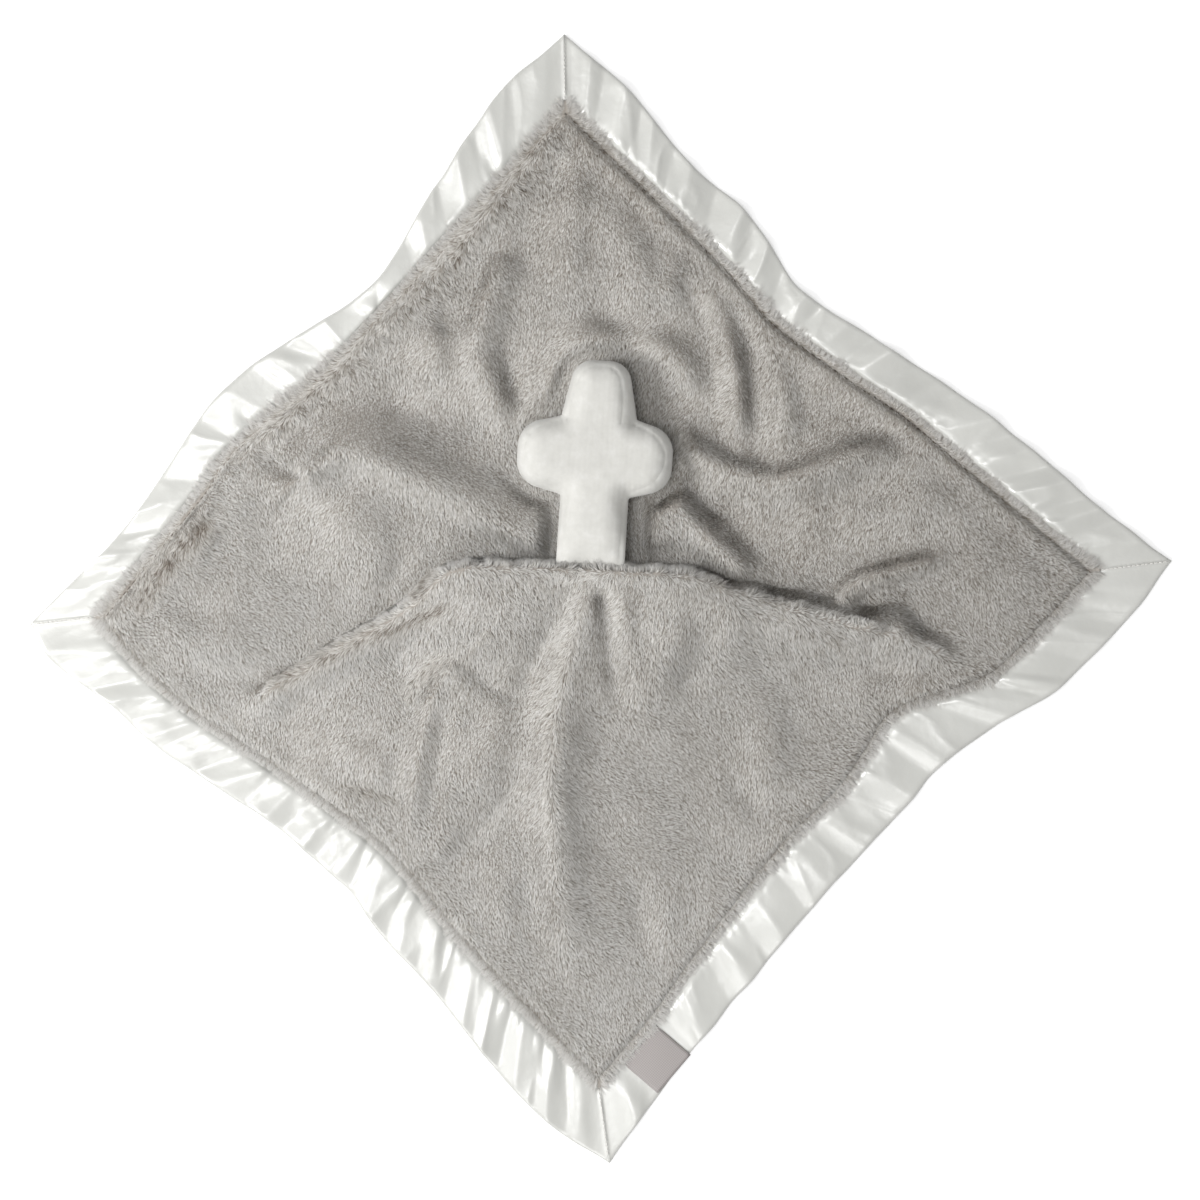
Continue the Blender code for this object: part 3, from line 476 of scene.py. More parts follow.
def charmeuse_satin():
    """Polyester charmeuse satin: its long floats give a wet gloss. Floats 0.6 mm apart, drawn coarse."""
    made, tree, shader, place = textured("charmeuse_satin", "#dfdeda", {
        "Roughness": 0.24, "Sheen Weight": 0.05, "Sheen Roughness": 0.3, "IOR": 1.64,
        "Specular IOR Level": 1.0})
    tint_by(tree, shader, speckled(tree, place, 30, 2.0), [(0.3, "#c3c3be"), (0.7, "#cdcdc8")])
    gloss = add(tree, "MapRange", {"Value": speckled(tree, place, 0.6, 1.0), "To Min": 0.27, "To Max": 0.37})
    tree.links.new(gloss.outputs["Result"], shader.inputs["Roughness"])
    bump_by(tree, shader, speckled(tree, place, 5, 3.0), 0.4, 0.35)
    return made


def knitted_velour():
    """Knitted velour, its pile under 1 mm: matt, a soft bloom at grazing angles, faint ribs up the stem."""
    made, tree, shader, place = textured("knitted_velour", "#dfddd8", {
        "Roughness": 0.9, "Sheen Weight": 0.35, "Sheen Roughness": 0.45, "Specular IOR Level": 0.2})
    tint_by(tree, shader, speckled(tree, place, 6, 5.0, Roughness=0.65),
            [(0.3, "#c7c6c1"), (0.52, "#cdccc7"), (0.72, "#d4d3cf")])
    ribs = banded(tree, place, 1.3, {"Distortion": 2.5, "Detail": 2.0, "Detail Scale": 0.6},
                  bands_direction="X")
    both = add(tree, "Mix", {0: 0.5, 2: ribs, 3: speckled(tree, place, 0.5, 2.0)})
    bump_by(tree, shader, both.outputs[0], 0.12, 0.35)
    return made


def woven_tape():
    """Woven polyester tape: a tight plain weave with a slight lustre. Threads 0.5 mm apart, drawn coarse."""
    made, tree, shader, place = textured("woven_label_tape", "#9f9997",
                                         {"Roughness": 0.55, "Sheen Weight": 0.15})
    warp, weft = (banded(tree, place, 0.5, bands_direction=way) for way in "XY")
    both = add(tree, "Mix", {0: 0.5, 2: warp, 3: weft}).outputs[0]
    tint_by(tree, shader, both, [(0.2, "#938d8b"), (0.8, "#a9a3a1")])
    bump_by(tree, shader, both, 0.12, 0.6)
    return made


def spun_thread(name, dark, light):
    """Spun polyester thread: two plies twisted together, about 0.4 mm a turn."""
    made, tree, shader, place = textured(name, light, {"Roughness": 0.6, "Sheen Weight": 0.1})
    tint_by(tree, shader, banded(tree, place, 0.4, bands_direction="DIAGONAL"), [(0.1, dark), (0.8, light)])
    return made


# Meshes
def linked(name, data):
    made = bpy.data.objects.new(name, data)
    bpy.context.scene.collection.objects.link(made)
    return made


def placed(mesh, look, body):
    """A piece of this mesh, riding its body and finished in the given look."""
    mesh.materials.append(look)
    made = linked(mesh.name, mesh)
    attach(made, body)
    return made


def mesh_object(name, verts, faces, look, body):
    mesh = bpy.data.meshes.new(name)
    mesh.from_pydata([tuple(v) for v in verts], [], faces)
    mesh.polygons.foreach_set("use_smooth", [True] * len(mesh.polygons))
    return placed(mesh, look, body)


def thicken(piece, depth):
    made = piece.modifiers.new("thickness", "SOLIDIFY")
    made.thickness, made.offset = depth, 0


def grid_faces(rows, columns):
    at = np.arange(rows * columns).reshape(rows, columns)
    return np.stack([at[:-1, :-1], at[:-1, 1:], at[1:, 1:], at[1:, :-1]], -1).reshape(-1, 4).tolist()


# The upper cloth, a grid between the four sides with close rows at its edges
EDGE_ROWS = [0, 1, 2, 3, 3.7, 4.4, 5.1, 6, 7.2, 8.6, 10.2, 12]     # their distances in from it, in mm
INNER_ROWS = 175


def cloth_grid():
    close = np.array(EDGE_ROWS) * MM / SIDE_LENGTH
    spread = np.linspace(close[-1], 1 - close[-1], INNER_ROWS)
    places = np.concatenate([close[:-1], spread, 1 - close[-2::-1]])
    u, v = (grid.ravel() for grid in np.meshgrid(places, places, indexing="ij"))
    upper_left, upper_right, lower_right, lower_left = (
        side_points(PLUSH_CORNERS, PLUSH_BULGES, side, place)
        for side, place in enumerate((u, v, 1 - u, 1 - v)))
    left, top, right, bottom = PLUSH_CORNERS
    u, v = u[:, None], v[:, None]
    plan = ((1 - v) * upper_left + v * lower_right + (1 - u) * lower_left + u * upper_right
            - ((1 - u) * (1 - v) * left + u * (1 - v) * top + u * v * right + (1 - u) * v * bottom))
    return plan, len(places)


CREST_ROWS = softened(np.array(CREST) * (MM, MM, 1, MM, MM))
OFF_STEM = 1 - bell(CREST_ROWS[:, :2] - FOOT, 30 * MM).prod(1)
CREST_ROWS[:, 1] += 0.8 * MM * wander(CREST_ROWS[:, :2], 7, 81) * OFF_STEM
CREST_ROWS[:, 2] *= 1 + 0.035 * wander(CREST_ROWS[:, :2], 9, 83) * OFF_STEM
FOLD_RISE, FOLD_SPREAD = 1.15 * MM, 1.25 * MM
FOLD_PATHS = [(height * FOLD_RISE, left * FOLD_SPREAD, right * FOLD_SPREAD, softened(np.array(path) * MM))
              for height, left, right, path in FOLDS]
PARTING_PATHS = [(reach * MM, depth, softened(np.array(path) * MM)) for reach, depth, path in PARTINGS]
WALL_REACH = 6 * MM         # rows this near the ridge's rear wall are drawn to it
LOWEST = 1.75 * MM          # the under cloth stops the upper one here
LANDING = 0.7 * MM          # and how softly it comes down on it
CALM_BED = 10 * MM          # folds rise this gently from under the cross
FADE_FROM, FADE_RUN = 7 * MM, 26 * MM           # and this gently from the stitching
ROLL_AT, ROLL_WIDTH = 9 * MM, 3.5 * MM          # the full roll within the stitching
GROOVE_DEPTH, GROOVE_WIDTH = 1.7 * MM, 1.1 * MM
RUFFLE_AT, RUFFLE_WIDTH = 10 * MM, 5 * MM
RUFFLE_HEIGHT = 0.8         # in mm
PRESS_RUN = 8 * MM          # how far in from the edge the seam presses the cloth
RUMPLES = [(1.6, 40, 1), (0.9, 19, 2), (0.3, 9, 3)]     # (height, size, seed) in mm


def drawn_to_crest(plan):
    """The plan points near the crest, moved so that several rows of them stand in the ridge's rear wall."""
    away, spot, along, side = near(plan, CREST_ROWS)
    share = np.interp(along, np.arange(len(CREST_ROWS)), CREST_ROWS[:, 2])
    middle = np.interp(along, np.arange(len(CREST_ROWS)), CREST_ROWS[:, 4]) / 2
    signed = away * side - middle
    pulled = signed * (1 - 0.7 * share * bell(signed, WALL_REACH)) + middle
    out = unit(plan - spot) * side[:, None]
    return np.where(away[:, None] > 1e-7, spot + out * pulled[:, None], plan)


def ridge_height(plan):
    """The ridge stands up like a wall behind its crest and falls gently in front."""
    away, _, along, side = near(plan, CREST_ROWS)
    front = np.zeros(len(plan))
    for a, b in zip(CREST_ROWS, CREST_ROWS[1:]):
        way = b[:2] - a[:2]
        share = np.clip((plan - a[:2]) @ way / (way @ way), 0, 1)[:, None]
        at = a + share * (b - a)
        far = np.hypot(*(plan - at[:, :2]).T)
        front = np.maximum(front, at[:, 2] * (1 - eased(far / at[:, 3])))
    places = np.arange(len(CREST_ROWS))
    top, run = (np.interp(along, places, CREST_ROWS[:, k]) for k in (2, 4))
    return RIDGE * np.where(side < 0, front, top * (1 - eased(away / run)))


def fold_height(plan):
    raised = np.zeros(len(plan))
    for height, left, right, path in FOLD_PATHS:
        away, _, along, side = near(plan, path)
        end = np.minimum(along, len(path) - 1 - along)
        raised += height * bell(away, np.where(side > 0, left, right)) * (0.35 + 0.65 * eased(end / 4))
    return raised


def edge_distance(plan):
    return near(plan, EDGE)[0]


def by_side(plan, values):
    """A value given for each side, blended where the sides meet."""
    sides = [(-1, 1), (1, 1), (1, -1), (-1, -1)]
    away = np.stack([np.maximum(np.dot(plan, way) / (170 * MM), 0.001) ** 6 for way in sides])
    return (away * np.array(values)[:, None]).sum(0) / away.sum(0)


def ruffles(plan, edge):
    return by_side(plan, RUFFLES) * bell(edge - RUFFLE_AT, RUFFLE_WIDTH)


def bed_distance(plan):
    """How far a point lies outside the cross's footprint, and nothing within it."""
    loop = from_cross(inset(CROSS, -2 * MM))
    return np.where(inside(plan, loop), 0, near(plan, closed(loop))[0])


def cloth_height(plan):
    """The upper cloth's ground: pressed at its edge, rolled within the stitching, ridged and folded."""
    edge, bed = edge_distance(plan), bed_distance(plan)
    calm, fade = eased(bed / CALM_BED), eased((edge - FADE_FROM) / FADE_RUN)
    rumples = sum(height * MM * wander(plan, size, seed) for height, size, seed in RUMPLES)
    rolled = by_side(plan, ROLLS) * MM * bell(edge - ROLL_AT, ROLL_WIDTH)
    groove = GROOVE_DEPTH * bell(edge - STITCH_INSET, GROOVE_WIDTH) * by_side(plan, GROOVES)
    low = EDGE_GROUND + (GROUND - EDGE_GROUND) * eased(edge / PRESS_RUN)
    behind = 1 - 0.75 * bell(np.minimum(bed, 40 * MM), 4 * MM)
    ruffled = ruffles(plan, edge) * wander(plan, 6, 27) * RUFFLE_HEIGHT * MM
    raised = calm * behind * (fold_height(plan) + rumples)
    free = low + ruffled + rolled * (0.6 + 0.4 * wander(plan, 12, 4)) - LOWEST
    free = free + fade * (ridge_height(plan) + raised)
    return LOWEST + LANDING * np.logaddexp(0, free / LANDING) - groove


def surface_normals(places):
    along, across = np.gradient(places, axis=0), np.gradient(places, axis=1)
    up = unit(np.cross(across, along))
    return up * np.sign(up[..., 2:3] + 1e-9)


# The pile
def sown(places, normals, count, weight):
    """Roots spread evenly over a grid of places, more of them where the weight is higher."""
    side, other = places[1:, :-1] - places[:-1, :-1], places[:-1, 1:] - places[:-1, :-1]
    share = (np.linalg.norm(np.cross(side, other), axis=-1) * weight[:-1, :-1]).ravel()
    cell = np.searchsorted(np.cumsum(share) / share.sum(), (np.arange(count) + CHANCE.rand(count)) / count)
    i, j = np.unravel_index(np.minimum(cell, share.size - 1), side.shape[:2])
    s, t = CHANCE.rand(2, count, 1)

    def mixed(field):
        return ((1 - s) * (1 - t) * field[i, j] + s * (1 - t) * field[i + 1, j]
                + (1 - s) * t * field[i, j + 1] + s * t * field[i + 1, j + 1])
    return mixed(places), unit(mixed(normals))


ROOT_DEPTH = 0.4 * MM       # a tuft's root lies this deep in the ground
KNEE_SHARE = 0.45           # it bends so far along
FOOT_SHARE = 0.7            # its width at the foot, as a share of its width at the knee
ROLL = 22                   # degrees that it may turn about itself
TABLE_GAP = 0.05 * MM       # no hair goes lower
ROOT_UP, KNEE_UP, TIP_UP = 0.02, 0.48, 0.98         # places up a tuft on the pile's texture
TUFT_LOOPS = np.array([0, 1, 3, 2, 2, 3, 4])        # a four sided foot and a three sided tip
TUFT_UP = np.array([ROOT_UP, ROOT_UP, KNEE_UP, KNEE_UP, TIP_UP])[TUFT_LOOPS]
TUFT_SIDE = np.array([-1, 1, -1, 1, 0])[TUFT_LOOPS] * 0.004


def tufts(name, roots, normals, way, length, width, lean, bend, tone, look, body):
    """Tapered ribbons of pile. Each leaves its root at its lean, its tip at the bend's share of that."""
    count = len(roots)
    way = np.column_stack([way, np.zeros(count)])
    flat = unit(way - normals * (way * normals).sum(1, keepdims=True))
    roll = np.radians(CHANCE.uniform(-ROLL, ROLL, (count, 1)))
    across = np.cross(flat, normals) * np.cos(roll) + normals * np.sin(roll)
    at = roots - normals * ROOT_DEPTH
    spine = [at]
    for share, angle in ((KNEE_SHARE, lean), (1 - KNEE_SHARE, lean * bend)):
        angle = angle[:, None]
        at = at + (flat * np.cos(angle) + normals * np.sin(angle)) * length[:, None] * share
        spine.append(at)
    half = across * width[:, None] / 2
    foot = half * FOOT_SHARE
    verts = np.stack([spine[0] - foot, spine[0] + foot, spine[1] - half, spine[1] + half, spine[2]], 1)
    verts[..., 2] = np.maximum(verts[..., 2], TABLE_GAP)
    loops = (np.arange(count)[:, None] * 5 + TUFT_LOOPS).ravel()
    sizes = np.tile([4, 3], count)
    mesh = bpy.data.meshes.new(name)
    mesh.vertices.add(count * 5)
    mesh.vertices.foreach_set("co", verts.astype(np.float32).ravel())
    mesh.loops.add(len(loops))
    mesh.loops.foreach_set("vertex_index", loops)
    mesh.polygons.add(len(sizes))
    mesh.polygons.foreach_set("loop_start", np.concatenate([[0], np.cumsum(sizes)[:-1]]))
    mesh.polygons.foreach_set("use_smooth", np.ones(len(sizes), bool))
    mesh.update(calc_edges=True)
    fibre = np.cross(across, flat)
    fibre = unit(fibre * np.sign((fibre * normals).sum(1, keepdims=True)))
    steep = np.sign(normals[:, 2:]) * (1 - np.abs(normals[:, 2:])) ** 2
    shade = unit(normals + 0.4 * fibre + (0, 0, 1.2) * steep + CHANCE.normal(0, 0.12, (count, 3)))
    mesh.normals_split_custom_set_from_vertices(np.repeat(shade, 5, axis=0))
    spread = np.clip(tone, 0.01, 0.99)[:, None] + TUFT_SIDE
    layer = mesh.uv_layers.new(name="OFBake")
    places = np.stack([spread, np.tile(TUFT_UP, (count, 1))], -1)
    layer.data.foreach_set("uv", places.astype(np.float32).ravel())
    return placed(mesh, look, body)


def turned(way, angle):
    c, s = np.cos(angle), np.sin(angle)
    return np.stack([way[:, 0] * c - way[:, 1] * s, way[:, 0] * s + way[:, 1] * c], 1)


NAP_TURNS = [(34, 38, 11), (24, 13, 12), (12, 4, 13)]   # (degrees, size in mm, seed)


def nap(plan):
    """Which way the pile lies: down the picture, swept right along the lower right and at the left corner."""
    swept = 32 * eased((plan @ (0.6, -0.8)) / (90 * MM)) + 38 * eased((-plan[:, 0] - 130 * MM) / (60 * MM))
    turn = swept + sum(degrees * wander(plan, size, seed) for degrees, size, seed in NAP_TURNS)
    return turned(np.tile((0.0, -1.0), (len(plan), 1)), np.radians(turn))


def parted(plan, way):
    """Pile turned away from where it parts, how much each root feels that, its brown, and the crest."""
    away, spot, along, side = near(plan, CREST_ROWS)
    share = np.interp(along, np.arange(len(CREST_ROWS)), CREST_ROWS[:, 2])
    patchy = np.clip(0.62 + 0.75 * wander(plan, 6, 14) + 0.35 * wander(plan, 2.5, 16), 0.05, 1)
    back = eased(share * 2) * bell(away * side - 0.7 * MM, 2.1 * MM) * patchy
    crest = eased(share * 2) * bell(away, 4.5 * MM)
    way = unit(way * (1 - back)[:, None] + unit(plan - spot) * (side * back)[:, None] * 1.6)
    felt, brown, push = np.zeros(len(plan)), np.zeros(len(plan)), np.zeros((len(plan), 2))
    for reach, depth, path in PARTING_PATHS:
        away, spot, along, _ = near(plan, path)
        pull = depth * eased(np.minimum(along, len(path) - 1 - along) / 3) * bell(away, reach)
        turn = pull * eased(away / (3 * MM))
        tint = eased((depth - 0.7) / 0.3)
        ahead = unit(path[-1] - path[0])
        sway = unit(plan - spot) * (turn * (1 - 0.7 * tint))[:, None] + ahead * (pull * tint)[:, None]
        push = np.where((pull > felt)[:, None], sway, push)
        felt = np.maximum(felt, pull)
        brown = np.maximum(brown, pull * tint)
    return unit(way * (1 - 0.6 * felt)[:, None] + push * 0.9), felt, brown, crest


LOCK_TABLE = 101            # locks before their table repeats


def lock_middles(plan, size, seed):
    """The middle of the lock of pile that each root clings to, and that lock's own shade from -1 to 1."""
    table = np.random.RandomState(seed).rand(LOCK_TABLE, LOCK_TABLE, 3)
    cell = np.floor(plan / size).astype(int)
    best, middle, shade = np.full(len(plan), np.inf), plan.copy(), np.zeros(len(plan))
    for i in (-1, 0, 1):
        for j in (-1, 0, 1):
            here = cell + (i, j)
            found = table[here[:, 0] % LOCK_TABLE, here[:, 1] % LOCK_TABLE]
            spot = (here + found[:, :2]) * size
            away = np.hypot(*(plan - spot).T)
            closer = away < best
            best[closer], middle[closer], shade[closer] = away[closer], spot[closer], found[closer, 2] * 2 - 1
    return middle, shade


def outward_at(plan):
    """The way straight out over the border at the nearest edge, and the distance to that edge."""
    away, spot, _, _ = near(plan, EDGE)
    return unit(spot - plan), away


def fanned(way, out, rim):
    """Pile that turns out over the border by its share of the rim."""
    return unit(way * (1 - rim)[:, None] + out * rim[:, None] * 1.5)


PILE_PIECES = 8
LOCK = 1.3 * MM             # locks of pile cling together about this far apart
CLUMP = 2.6 * MM            # and so far apart where the pile is longer, at its edge and where it parts
PILE_COUNT = 66000
HAIR_LENGTH, HAIR_WIDTHS = 3.1, (0.22, 0.46)        # in mm
HAIR_LEAN = 57              # degrees above the cloth


def grow_pile(places, normals, look):
    """The upper pile in its pieces: where it is rooted, which way it lies, its length, lean and tone."""
    pieces = []
    rim_distance = edge_distance(places.reshape(-1, 3)[:, :2]).reshape(places.shape[:2])
    weight = 1 + 3 * bell(rim_distance, 4 * MM)
    for piece in range(PILE_PIECES):
        # Which way each hair lies: with the nap, away from partings, out at the rim, over the foot
        roots, up = sown(places, normals, PILE_COUNT, weight)
        plan, count = roots[:, :2], len(roots)
        way, felt, brown, crest = parted(plan, nap(plan))
        out, edge = outward_at(plan)
        rim = eased(1 - (edge - 2.2 * MM) / (3 * MM))
        way = fanned(way, out, rim)
        middle, shade = lock_middles(plan, LOCK, 15)
        clump, reach = lock_middles(plan, CLUMP, 17)
        ruffled = ruffles(plan, edge)
        longer = np.maximum(rim, felt)
        way = unit(way + (middle - plan) / LOCK * (0.45 * (1 - longer))[:, None]
                   + (clump - plan) / CLUMP * (0.35 * longer)[:, None])
        way = turned(way, np.radians(CHANCE.normal(0, 11, count) + 14 * reach * longer
                                     + 28 * crest * wander(plan, 4, 19)
                                     + 55 * ruffled * wander(plan, 4.5, 25)))
        groove = bell(edge - STITCH_INSET, 0.9 * MM) * by_side(plan, GROOVES)
        groove = groove * (0.8 + 0.5 * wander(plan, 4, 18))
        stray = CHANCE.rand(count) ** 1.6
        by_label = bell(np.hypot(*(plan - LABEL_ROOT).T), 15 * MM)
        by_foot = bell(np.hypot(*((plan - FOOT + (0, 5.5 * MM)) / (15 * MM, 4.5 * MM)).T), 1)
        over = by_foot * np.clip(0.75 + 0.9 * wander(plan, 2, 24), 0, 1)
        way = unit(way + over[:, None] * (0.06, 2.2))
        # Its length in mm, its width, and its lean in degrees above the cloth
        fringe = by_side(plan, FRINGES) * (stray + 0.16 * reach + 0.1 * wander(plan, 9, 20))
        fringe = fringe - 0.9 - 2.0 * by_label
        length = (HAIR_LENGTH + CHANCE.normal(0, 0.4, count) - 0.9 * groove + rim * fringe + 1.5 * felt
                  + (2.2 + 4 * stray) * over + 0.9 * ruffled * reach + 0.9 * crest * wander(plan, 5, 23))
        wall = 1 - up[:, 2]
        width = CHANCE.uniform(*HAIR_WIDTHS, count) * (1 - 0.4 * rim) * MM
        lean = np.radians(HAIR_LEAN + CHANCE.normal(0, 8, count) - 33 * rim - 8 * felt
                          - 14 * crest * (1 - by_foot) + 40 * crest * wall - 14 * over * (1 - wall)
                          - 8 * ruffled)
        bend = 0.75 - 0.35 * longer
        # Its tone: painted light to the left and front, at the rim, on the crest and on the hair over the
        # foot; painted shade in the stitching's groove; darker among the ruffles and where the pile parts,
        # brown streaks, and tone that differs at random
        streak = 0.5 + 0.5 * shade
        # painted light: the pile is lighter to the left (-X) and front (-Y), as the lamps fall on it
        tone = (0.66 - 0.5 * plan[:, 0] - 0.45 * plan[:, 1] + 0.06 * wander(plan, 50, 21)
                + 0.07 * wander(plan, 9, 22) + 0.22 * shade + 0.05 * reach * longer
                + CHANCE.normal(0, 0.16, count) - 0.08 * felt - 0.85 * brown * streak ** 1.3
                # painted shade in the stitching's groove; darker in patches among the ruffles
                - 0.5 * groove - 0.3 * ruffled * np.maximum(wander(plan, 3.5, 26), 0)
                # painted light: lighter at the rim, on the crest and on the hair that laps over the foot
                + 0.3 * rim + 0.1 * crest + 0.1 * over)
        pieces.append(tufts(f"plush_pile_{piece + 1}", roots, up, way, length * MM, width, lean, bend, tone,
                            look, "blanket"))
    return pieces


def make_top(ground, mink):
    plan, count = cloth_grid()
    plan = drawn_to_crest(plan)
    places = np.column_stack([plan, cloth_height(plan)])
    faces = [face[::-1] for face in grid_faces(count, count)]
    cloth = mesh_object("plush_cloth", places, faces, ground, "blanket")
    grid = places.reshape(count, count, 3)
    pile = grow_pile(grid, surface_normals(grid), mink)
    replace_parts(cloth, "top_panel")


BACK_EDGE, BACK_RISE = 0.7, 0.5     # the under cloth's height at its seam, and its rise within, in mm
BACK_HAIRS = [2.2, 5]               # the length there of its hairs, in mm


def make_back(ground, mink):
    """The under cloth, its pile pressed flat on the table."""
    plan, count = cloth_grid()
    edge = edge_distance(plan)
    places = np.column_stack([plan, (BACK_EDGE + BACK_RISE * eased((edge - 6 * MM) / (10 * MM))) * MM])
    back = mesh_object("plush_back_cloth", places, grid_faces(count, count), ground, "blanket")
    grid = places.reshape(count, count, 3)
    roots, up = sown(grid, -surface_normals(grid), PILE_COUNT, np.ones(grid.shape[:2]))
    plan = roots[:, :2]
    way = turned(nap(plan), np.radians(CHANCE.normal(0, 15, len(plan))))
    out, edge = outward_at(plan)
    way = fanned(way, out, eased(1 - (edge - 4 * MM) / (3 * MM)))
    room = np.interp(roots[:, 2], [BACK_EDGE * MM, (BACK_EDGE + BACK_RISE) * MM], BACK_HAIRS) * MM
    length = room * CHANCE.uniform(0.85, 1.0, len(plan))
    lean = np.arcsin(np.clip((roots[:, 2] - 0.25 * MM) / length, 0.02, 0.9)) * 1.2
    tone = 0.5 + 0.2 * wander(plan, 24, 31) + CHANCE.normal(0, 0.12, len(plan))
    width = CHANCE.uniform(0.9, 1.7, len(plan)) * MM
    pile = tufts("back_pile", roots, up, way, length, width, lean, 0.35, tone, mink, "blanket")
    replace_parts(back, "back_panel")


# The satin border
GATHERS = [0.1, 0.35, 0.3, 0.4]     # how deep the small gathers are on each side, in mm
FACETS = [1.4, 2.6, 1.8, 1.6]       # and how high the broad facets stand, in mm
FOLD_TABLE, FACET_TABLE = [], []
for count, facets in ((6, 24), (9, 30), (8, 26), (16, 34)):     # folds and facets on each side
    starts = (np.arange(count) + CHANCE.uniform(-0.45, 0.45, count)) / count
    FOLD_TABLE.append([(start, CHANCE.uniform(-12, 12) * MM, CHANCE.uniform(2.5, 6) * MM,
                        CHANCE.uniform(7, 14) * MM, CHANCE.uniform(0.6, 1.7) * MM * CHANCE.choice([-1, 1, 1]),
                        CHANCE.choice([0, 0, 1, 2])) for start in starts])
    creases = (np.arange(facets + 1) + CHANCE.uniform(-0.35, 0.35, facets + 1)) / facets
    turns = np.where(np.arange(facets + 1) % 2, 1, -1)
    FACET_TABLE.append((creases, CHANCE.uniform(0.3, 1, facets + 1) * turns))


def puckers(side, place, out, long):
    """How high the gathered satin stands: folds fan out from the seam, with flat facets between."""
    raised = np.full_like(place, 1.8 * MM)
    for start, slant, narrow, wide, height, kind in FOLD_TABLE[side]:
        away = np.abs((place - start) * long - slant * out)
        width = narrow + (wide - narrow) * out
        strength = (1 - 0.8 * eased(out * 1.1), 0.5 + 0.5 * bell(out - 0.5, 0.3), eased(out * 1.3))[kind]
        raised = raised + height * strength * np.maximum(1 - (away / width) ** 2, 0) ** 1.5
    run = place * long + side
    spot = np.column_stack([run, out * BORDER])
    creases, heights = FACET_TABLE[side]
    slant = 9 * MM * wander_along(run, 30, 66) * (out - 0.3)
    rounding = np.array((-1.2, 0, 1.2)) * MM
    facet = sum(np.interp(place + (slant + off) / long, creases, heights) for off in rounding) / 3
    raised = raised + FACETS[side] * MM * facet * (0.45 + 0.55 * eased(out * 1.4))
    drift = wander(spot, 19, 46 + side) * 7 * MM
    creased = wander(np.column_stack([spot[:, 0] + drift, spot[:, 1] * 0.5 + drift]), 17, 51 + side)
    gathers = wander(spot * (1, 0.4), 2.6, 41 + side)
    raised = (raised + 1.2 * MM * (1 - np.sqrt(np.abs(creased))) + 0.7 * MM * wander(spot, 24, 56 + side)
              + GATHERS[side] * MM * gathers * eased(1 - out * 2.5))
    end = np.minimum(place, 1 - place)
    mitre = 0.6 * MM * bell(end * long, 0.9 * MM)
    return np.maximum(raised, -0.4 * MM) * (0.2 + 0.8 * eased(end * 12)) + mitre


def label_calm(plan):
    """How much of its height the satin keeps: next to none where the label lies on it."""
    aside, out = np.abs((plan - LABEL_ROOT) @ LABEL_ALONG), (plan - LABEL_ROOT) @ LABEL_OUT
    away = np.maximum(aside - LABEL_WIDTH / 2, 0) + np.maximum(-out - 6 * MM, 0)
    return 0.02 + 0.98 * eased((away - 1 * MM) / (13 * MM))


# The strip's rows across, as shares of its width, and the angles of its fold
UPPER_ROWS = [-0.26, -0.12, 0.0, 0.06, 0.13, 0.21, 0.3, 0.4, 0.5, 0.6, 0.7, 0.8, 0.88, 0.94]
LOWER_ROWS = [0.94, 0.84, 0.7, 0.5, 0.25, 0.0, -0.26]
TURN_ROWS = np.radians([60, 30, 0, -30, -60])
STRIP_PLACES = 360


def make_satin(side, look):
    """One strip, folded double along its outer edge: the upper layer, the fold, then the lower layer."""
    length = np.hypot(*(SATIN_CORNERS[(side + 1) % 4] - SATIN_CORNERS[side]))
    place = np.linspace(0, 1, STRIP_PLACES)
    plush = side_points(PLUSH_CORNERS, PLUSH_BULGES, side, place)
    outer = side_points(SATIN_CORNERS, SATIN_BULGES, side, place)
    ripple = wander_along(place * length, 15, 61 + side, side) * 0.9 * MM
    way = unit(outer - plush)
    outer = outer + way * ripple[:, None]
    width = np.hypot(*(outer - plush).T)
    rows = []
    for share in UPPER_ROWS:
        plan = plush + way * (width * share)[:, None]
        raised = puckers(side, place, np.full(len(place), max(share, 0)), length) * eased(share * 9 + 0.15)
        rows.append(np.column_stack([plan, SATIN_HIGH + np.minimum(raised, 7 * MM) * label_calm(plan)]))
    upper = rows[-1][:, 2]
    lower = np.maximum(SATIN_LOW, upper - 3.2 * MM)
    radius = (upper - lower) / 2
    reach = np.minimum(radius, 1.4 * MM)
    for angle in TURN_ROWS:
        spot = plush + way * (width - reach * (1 - np.cos(angle)))[:, None]
        rows.append(np.column_stack([spot, (upper + lower) / 2 + radius * np.sin(angle)]))
    for share in LOWER_ROWS:
        height = SATIN_LOW + (lower - SATIN_LOW) * eased(share * 1.1) + 0.5 * MM * eased(1 - share * 4)
        rows.append(np.column_stack([plush + way * (width * share)[:, None], height]))
    faces = grid_faces(len(rows), len(place))
    strip = mesh_object("satin_strip_" + SIDES[side], np.vstack(rows), faces, look, "blanket")
    thicken(strip, 0.25 * MM)
    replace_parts(strip, "satin_" + SIDES[side])
    return rows


# Stitching
STITCH_RINGS = [(0.45, -1), (0.95, 0.4), (1, 1), (0.95, 0.4), (0.45, -1)]      # (size, share of the sag)
STITCH_SIDES = 6


